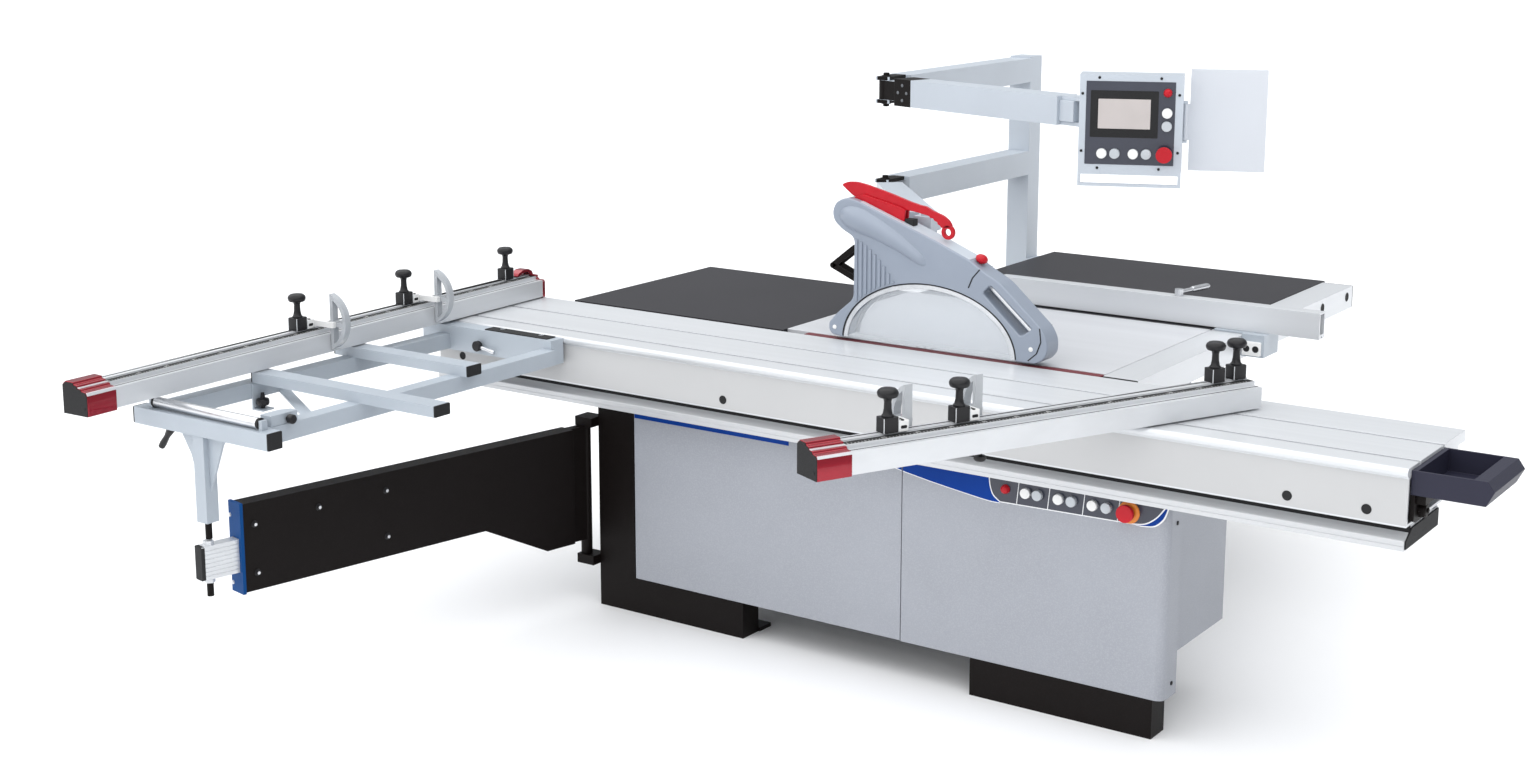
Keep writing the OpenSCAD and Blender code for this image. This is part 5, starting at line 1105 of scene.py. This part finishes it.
# %% Gussets, brace and plate
LEG_X, LEG_Y = -1258.9, -1888.3
gussets = [[(LEG_X - 20, 801), (LEG_X - 70, 801), (LEG_X - 20, 640)],
           [(LEG_X + 20, 801), (LEG_X + 86, 801), (LEG_X + 20, 640)]]
drawing("leg_gussets", "outrigger", silver_paint, gussets, "y", LEG_Y - 4, LEG_Y + 4, bevel=1.2)
brace = [(-1462, -1437), (-1462, -1397), (-1068, -1634), (-1068, -1674)]
drawing("outrigger_brace", "outrigger", silver_paint, [brace], "z", 803, 808, bevel=0.8)
drawing("beam_plate", "outrigger", black_rubber, [box_outline(-1320, -696, -1060, -652, 3)], "z",
        875.8, 879.0, bevel=0.5)
turning("beam_plate_eyes", "outrigger", bright_steel, [(9, 0), (9, 1), (5, 1.2), (5, 0.2), (0, 0.2)],
        [(x, -664, 878.9) for x in (-1270, -1110)], "z", 20, bevel=0)
print("gussets made")

# %% [markdown]
# ## Bolts of the swing arm
# The arm's plates are held by black socket bolts with bright centres, and its blue end plate by two steel
# screws. Each bolt shows on both sides of the arm. A bolt through the plate would be hidden inside anyway, so
# only the heads are made, facing out on either side.

# %% Bolts of the arm
ON_ARM = placed(-999.5, -590, 0, -11.3)
BOLT_HEAD = [(10, -0.4), (10, 1.8), (7, 2.2), (7, 6), (5.5, 7), (0, 7)]
BOLT_CENTRE = [(4.6, 6.5), (4.6, 7.8), (0, 7.8)]
heads, centres = bmesh.new(), bmesh.new()
for s, z in ((1200, 527), (994, 533), (768, 536), (768, 397), (1197, 386)):
    for x, out in ((29, 1), (-29, -1)):
        turned(heads, facing(BOLT_HEAD, out), (x, -s, z), "x", 18)
        turned(centres, facing(BOLT_CENTRE, out), (x, -s, z), "x", 12)
piece("arm_bolts", "arm", knob_black, heads, bevel=0.5, at=ON_ARM)
piece("arm_bolt_centres", "arm", bright_steel, centres, bevel=0, at=ON_ARM)
turning("end_plate_screws", "arm", bright_steel, [(6, 0.3), (6, -2), (4.5, -3), (0, -3.2)],
        [(0, -1257, z) for z in (365, 560)], "y", 16, bevel=0, at=ON_ARM)
print("arm bolted")

# %% [markdown]
# ## Where the arm carries the outrigger
# A telescopic bar slides out of the arm, closed by a black cap, and a rod under the outrigger's leg stands on
# it, with a stub below the bar. One pin through both would be simpler, but the leg slides with the outrigger
# and the bar swings with the arm, so rod and stub ride on different bodies.

# %% End cap, rod and stub
drawing("bar_end_cap", "arm_bar", black_rubber, [box_outline(-18.4, 393.6, 18.4, 490.4, 4)], "y",
        -1348.7, -1360, bevel=1.2, at=ON_ARM)
turning("leg_rod", "outrigger", black_coat, [(9.5, 505.6), (9.5, 556)], [(LEG_X, LEG_Y, 0)], "z", 20)
turning("bar_stub", "arm_bar", black_coat, [(9.5, 342.6), (9.5, 381.8)], [(0, -1328, 0)], "z", 20, at=ON_ARM)
print("bar and leg trimmed")

# %% [markdown]
# ## The carriage's side
# The carriage's long side has a warmer, duller and darker tone than its top. The warm grey is the colour
# given to the side. Its darkness beside the top is painted shade, for a side face that gets less light.
# Black plugs close its bolt holes. A second finish on the CAD mesh would need its faces chosen one by
# one, so a thin skin covers the side.

# %% Skin and plugs of the carriage
CARRIAGE_ENDS = (-1574, 1626)
# Painted shade: the side skin is darker than the carriage's top, as well as warm grey in colour.
blocks("carriage_side_shade_skin", "carriage", side_shade_paint,
       [((CARRIAGE_ENDS[0], -635.6, 734), (CARRIAGE_ENDS[1], -634.8, 852))], bevel=0.2, segments=1)
plug = [(13, 0.4), (13, -1.4), (10.5, -2.2), (9, -1.2), (0, -1.2)]
turning("carriage_plugs", "carriage", black_rubber, plug,
        [(x, -635, 761) for x in (-1474, -1271, -426, 474, 1323, 1526)], "y", 24, bevel=0)
print("carriage side made")

# %% [markdown]
# ## The rail under the carriage
# The rail is an extrusion with a grooved flange in front and a cove that runs in under the carriage. The cove
# is what makes the soft line from dark to bright below the carriage's side, and a square edge would only
# show as white. The section is drawn once and given the rail's length, and a plate closes either end. A
# black strip at the top of the cove is painted shade, in the dark gap under the carriage's edge.

# %% Rail section and end plates
RAIL_SECTION = [(-645, 672), (-645, 683), (-643.6, 683.6), (-643.6, 684.8), (-645, 685.4), (-645, 697.5),
                (-643, 699), (-634, 700), (-624, 703), (-615, 707), (-607, 712.5), (-602, 719), (-600, 725),
                (-600, 728.7), (-570, 728.7), (-570, 725), (-460, 725), (-460, 728.7), (-430, 728.7),
                (-430, 725), (-385, 725), (-385, 672)]
rail_metal = finish("rail_aluminium", "anodised", (0.56, 0.57, 0.585), 0.36, metal=0.35, along=(0.015, 1, 1),
                    **anodised)
bed = drawing("rail_bed", "base", rail_metal, [RAIL_SECTION], "x", *CARRIAGE_ENDS, bevel=0.4)
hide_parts("base_rail")
plate_outline = [(-641, 676), (-641, 696), (-628, 704), (-600, 722), (-389, 722), (-389, 676)]
plates = bmesh.new()
for x, out in zip(CARRIAGE_ENDS, (-1, 1)):
    drawn(plates, plate_outline, "x", x - 0.4 * out, x + 4 * out)
piece("rail_end_plates", "base", black_rubber, plates, bevel=0.8)
# Painted shade: a black strip at the top of the cove, where the gap under the carriage lies in shadow.
cove_shade_strip = [(-609, 710.5), (-599.6, 710.5), (-599.6, 727.6), (-604, 727.6)]
drawing("rail_cove_shade", "base", black_rubber, [cove_shade_strip], "x", *CARRIAGE_ENDS, bevel=0.6)
print("rail made")

# %% [markdown]
# ## The push handle
# The carriage is pushed by a folded sheet tray on its end. Its end wall leans out to a nose and back in,
# so that a hand closes round it. A plain frame would lose that nose. The side view is drawn as one outline
# and given the tray's width, and the hollow is cut from above, which keeps thin walls and a wide end rim.
# Under the tray sits the dark latch that holds the carriage: a leaning plate, a wheel and a catch.

# %% Handle of the carriage
HANDLE_X, HANDLE_Y, HANDLE_WIDE, HANDLE_LOW, HANDLE_TOP = 1626, -620, 260, 810, 872
tray_side = [(HANDLE_X, HANDLE_LOW), (HANDLE_X + 181, HANDLE_LOW), (HANDLE_X + 200, HANDLE_TOP - 24),
             (HANDLE_X + 183, HANDLE_TOP), (HANDLE_X, HANDLE_TOP)]
tray = drawing("handle_tray", "carriage", dark_shell, [tray_side], "y", HANDLE_Y, HANDLE_Y + HANDLE_WIDE,
               bevel=1.2, segments=3)
hollow = bmesh.new()
block(hollow, (HANDLE_X + 14, HANDLE_Y + 7, HANDLE_LOW + 4),
      (HANDLE_X + 148, HANDLE_Y + HANDLE_WIDE - 7, HANDLE_TOP + 10))
cut(tray, hollow)
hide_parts("carriage_handle")
latch = bmesh.new()
drawn(latch, [(HANDLE_Y, HANDLE_LOW), (HANDLE_Y, 745), (HANDLE_Y + 20, 737), (HANDLE_Y + 70, 737),
              (HANDLE_Y + 190, 790), (HANDLE_Y + 190, HANDLE_LOW)], "x", HANDLE_X, HANDLE_X + 12)
block(latch, (HANDLE_X + 11, HANDLE_Y + 10, 786), (HANDLE_X + 36, HANDLE_Y + 120, HANDLE_LOW - 0.2))
latch_wheel = [(19, 11), (19, 26), (16, 30), (6, 30), (6, 34), (0, 34)]
turned(latch, latch_wheel, (HANDLE_X, HANDLE_Y + 48, 764), "x", 28)
piece("handle_latch", "carriage", black_coat, latch, bevel=1.0)
print("handle made")

# %% [markdown]
# ## Ends of the fence rail and fittings of the rip fence
# The fence rail's tube is capped at both ends and its bolts are plugged. The rip fence's head carries a white
# stop block with two holes, shown as black discs of painted shade, and its clamp lever a ribbed steel grip.
# The ribs are part of the grip's turned profile, two radii taking turns, which is simpler than cutting twenty
# grooves.

# %% Rail ends, rip head block and lever grip
rail = bmesh.new()
for y, out in ((1615, 1), (-160, -1)):
    drawn(rail, box_outline(583.4, 800.4, 692.6, 877.6, 4), "y", y - CAP_SUNK * out, y + 6 * out)
for y in (1318, 1559):
    turned(rail, [(16, -0.3), (16, 1.2), (12.5, 1.6), (11, 0.6), (0, 0.6)], (693, y, 846), "x", 28)
piece("rail_caps", "base", black_rubber, rail)
drawing("rip_head_block", "rip_head", white_shell, [box_outline(700, 818, 760, 862, 4)], "y", 588, 600.4,
        bevel=1.2)
# Painted shade: black discs stand for the dark inside the block's two holes.
turning("rip_head_hole_shade", "rip_head", black_rubber, [(10.5, 0), (10.5, -1), (8, -1.2), (7, -0.4), (0, -0.4)],
        [(x, 588, 840) for x in (715, 745)], "y", 20, bevel=0)
grip_ribs = [(9.5 + 0.8 * (k % 2), 74 + 4 * k) for k in range(20)]
lever_grip = [(8, 68), (9.5, 72), *grip_ribs, (8.5, 156), (7.4, 161), (0, 162)]
turning("rip_lever_grip", "rip_lever", bright_steel, lever_grip, HERE, "y", 20, bevel=0,
        at=placed(452, 659, 979.6, -12))
print("rail and rip fence trimmed")

# %% [markdown]
# ## The floor
# The floor is one large pale sheet, so that its far edge is out of sight. A curved studio backdrop would do
# the same for one view, but this scene is looked at from all sides.

# %% Floor
FLOOR_HALF = 400
sheet = bmesh.new()
bmesh.ops.create_grid(sheet, x_segments=8, y_segments=8, size=FLOOR_HALF)
floor_mesh = bpy.data.meshes.new("floor")
sheet.to_mesh(floor_mesh)
sheet.free()
pale_floor = finish("pale_floor", None, (0.93, 0.93, 0.935), 0.6, tone=0.01, patch=2.0, grain=0.01,
                    relief=0.02)
floor_mesh.materials.append(pale_floor)
floor = bpy.data.objects.new("floor", floor_mesh)
bpy.context.collection.objects.link(floor)
print("floor of", 2 * FLOOR_HALF, "metres")

# %% [markdown]
# ## The light
# A product photograph is lit by a big soft source above and a little in front, which makes the tops bright,
# the sides calm and the floor white. A very wide sun does that evenly out to the far floor, where lamps would
# fall off, and a sky that darkens towards the horizon gives the metal something to reflect.

# %% Sky and sun
SKY_LOW, SKY_HIGH, SKY_REACH = (0.30, 0.315, 0.335, 1), (0.66, 0.68, 0.70, 1), 0.8
SUN_STRENGTH, SUN_SPREAD, SUN_WAY = 3.3, 125, (0.16, 0.34, -1.0)
scene = bpy.context.scene
scene.view_settings.view_transform = "Standard"
world = bpy.data.worlds.new("studio")
world.use_nodes = True
sky = world.node_tree
backdrop = sky.nodes["Background"]
backdrop.inputs["Strength"].default_value = 1.0
way = sky.nodes.new("ShaderNodeTexCoord")
split = sky.nodes.new("ShaderNodeSeparateXYZ")
fade = sky.nodes.new("ShaderNodeValToRGB")
horizon, zenith = fade.color_ramp.elements
horizon.color, horizon.position = SKY_LOW, 0.0
zenith.color, zenith.position = SKY_HIGH, SKY_REACH
sky.links.new(way.outputs["Generated"], split.inputs["Vector"])
sky.links.new(split.outputs["Z"], fade.inputs["Fac"])
sky.links.new(fade.outputs["Color"], backdrop.inputs["Color"])
scene.world = world
sun = bpy.data.lights.new("wide_sun", "SUN")
sun.energy, sun.angle = SUN_STRENGTH, math.radians(SUN_SPREAD)
sun_holder = bpy.data.objects.new("wide_sun", sun)
sun_holder.rotation_euler = Vector(SUN_WAY).to_track_quat("-Z", "Y").to_euler()
bpy.context.collection.objects.link(sun_holder)
print("studio lit")
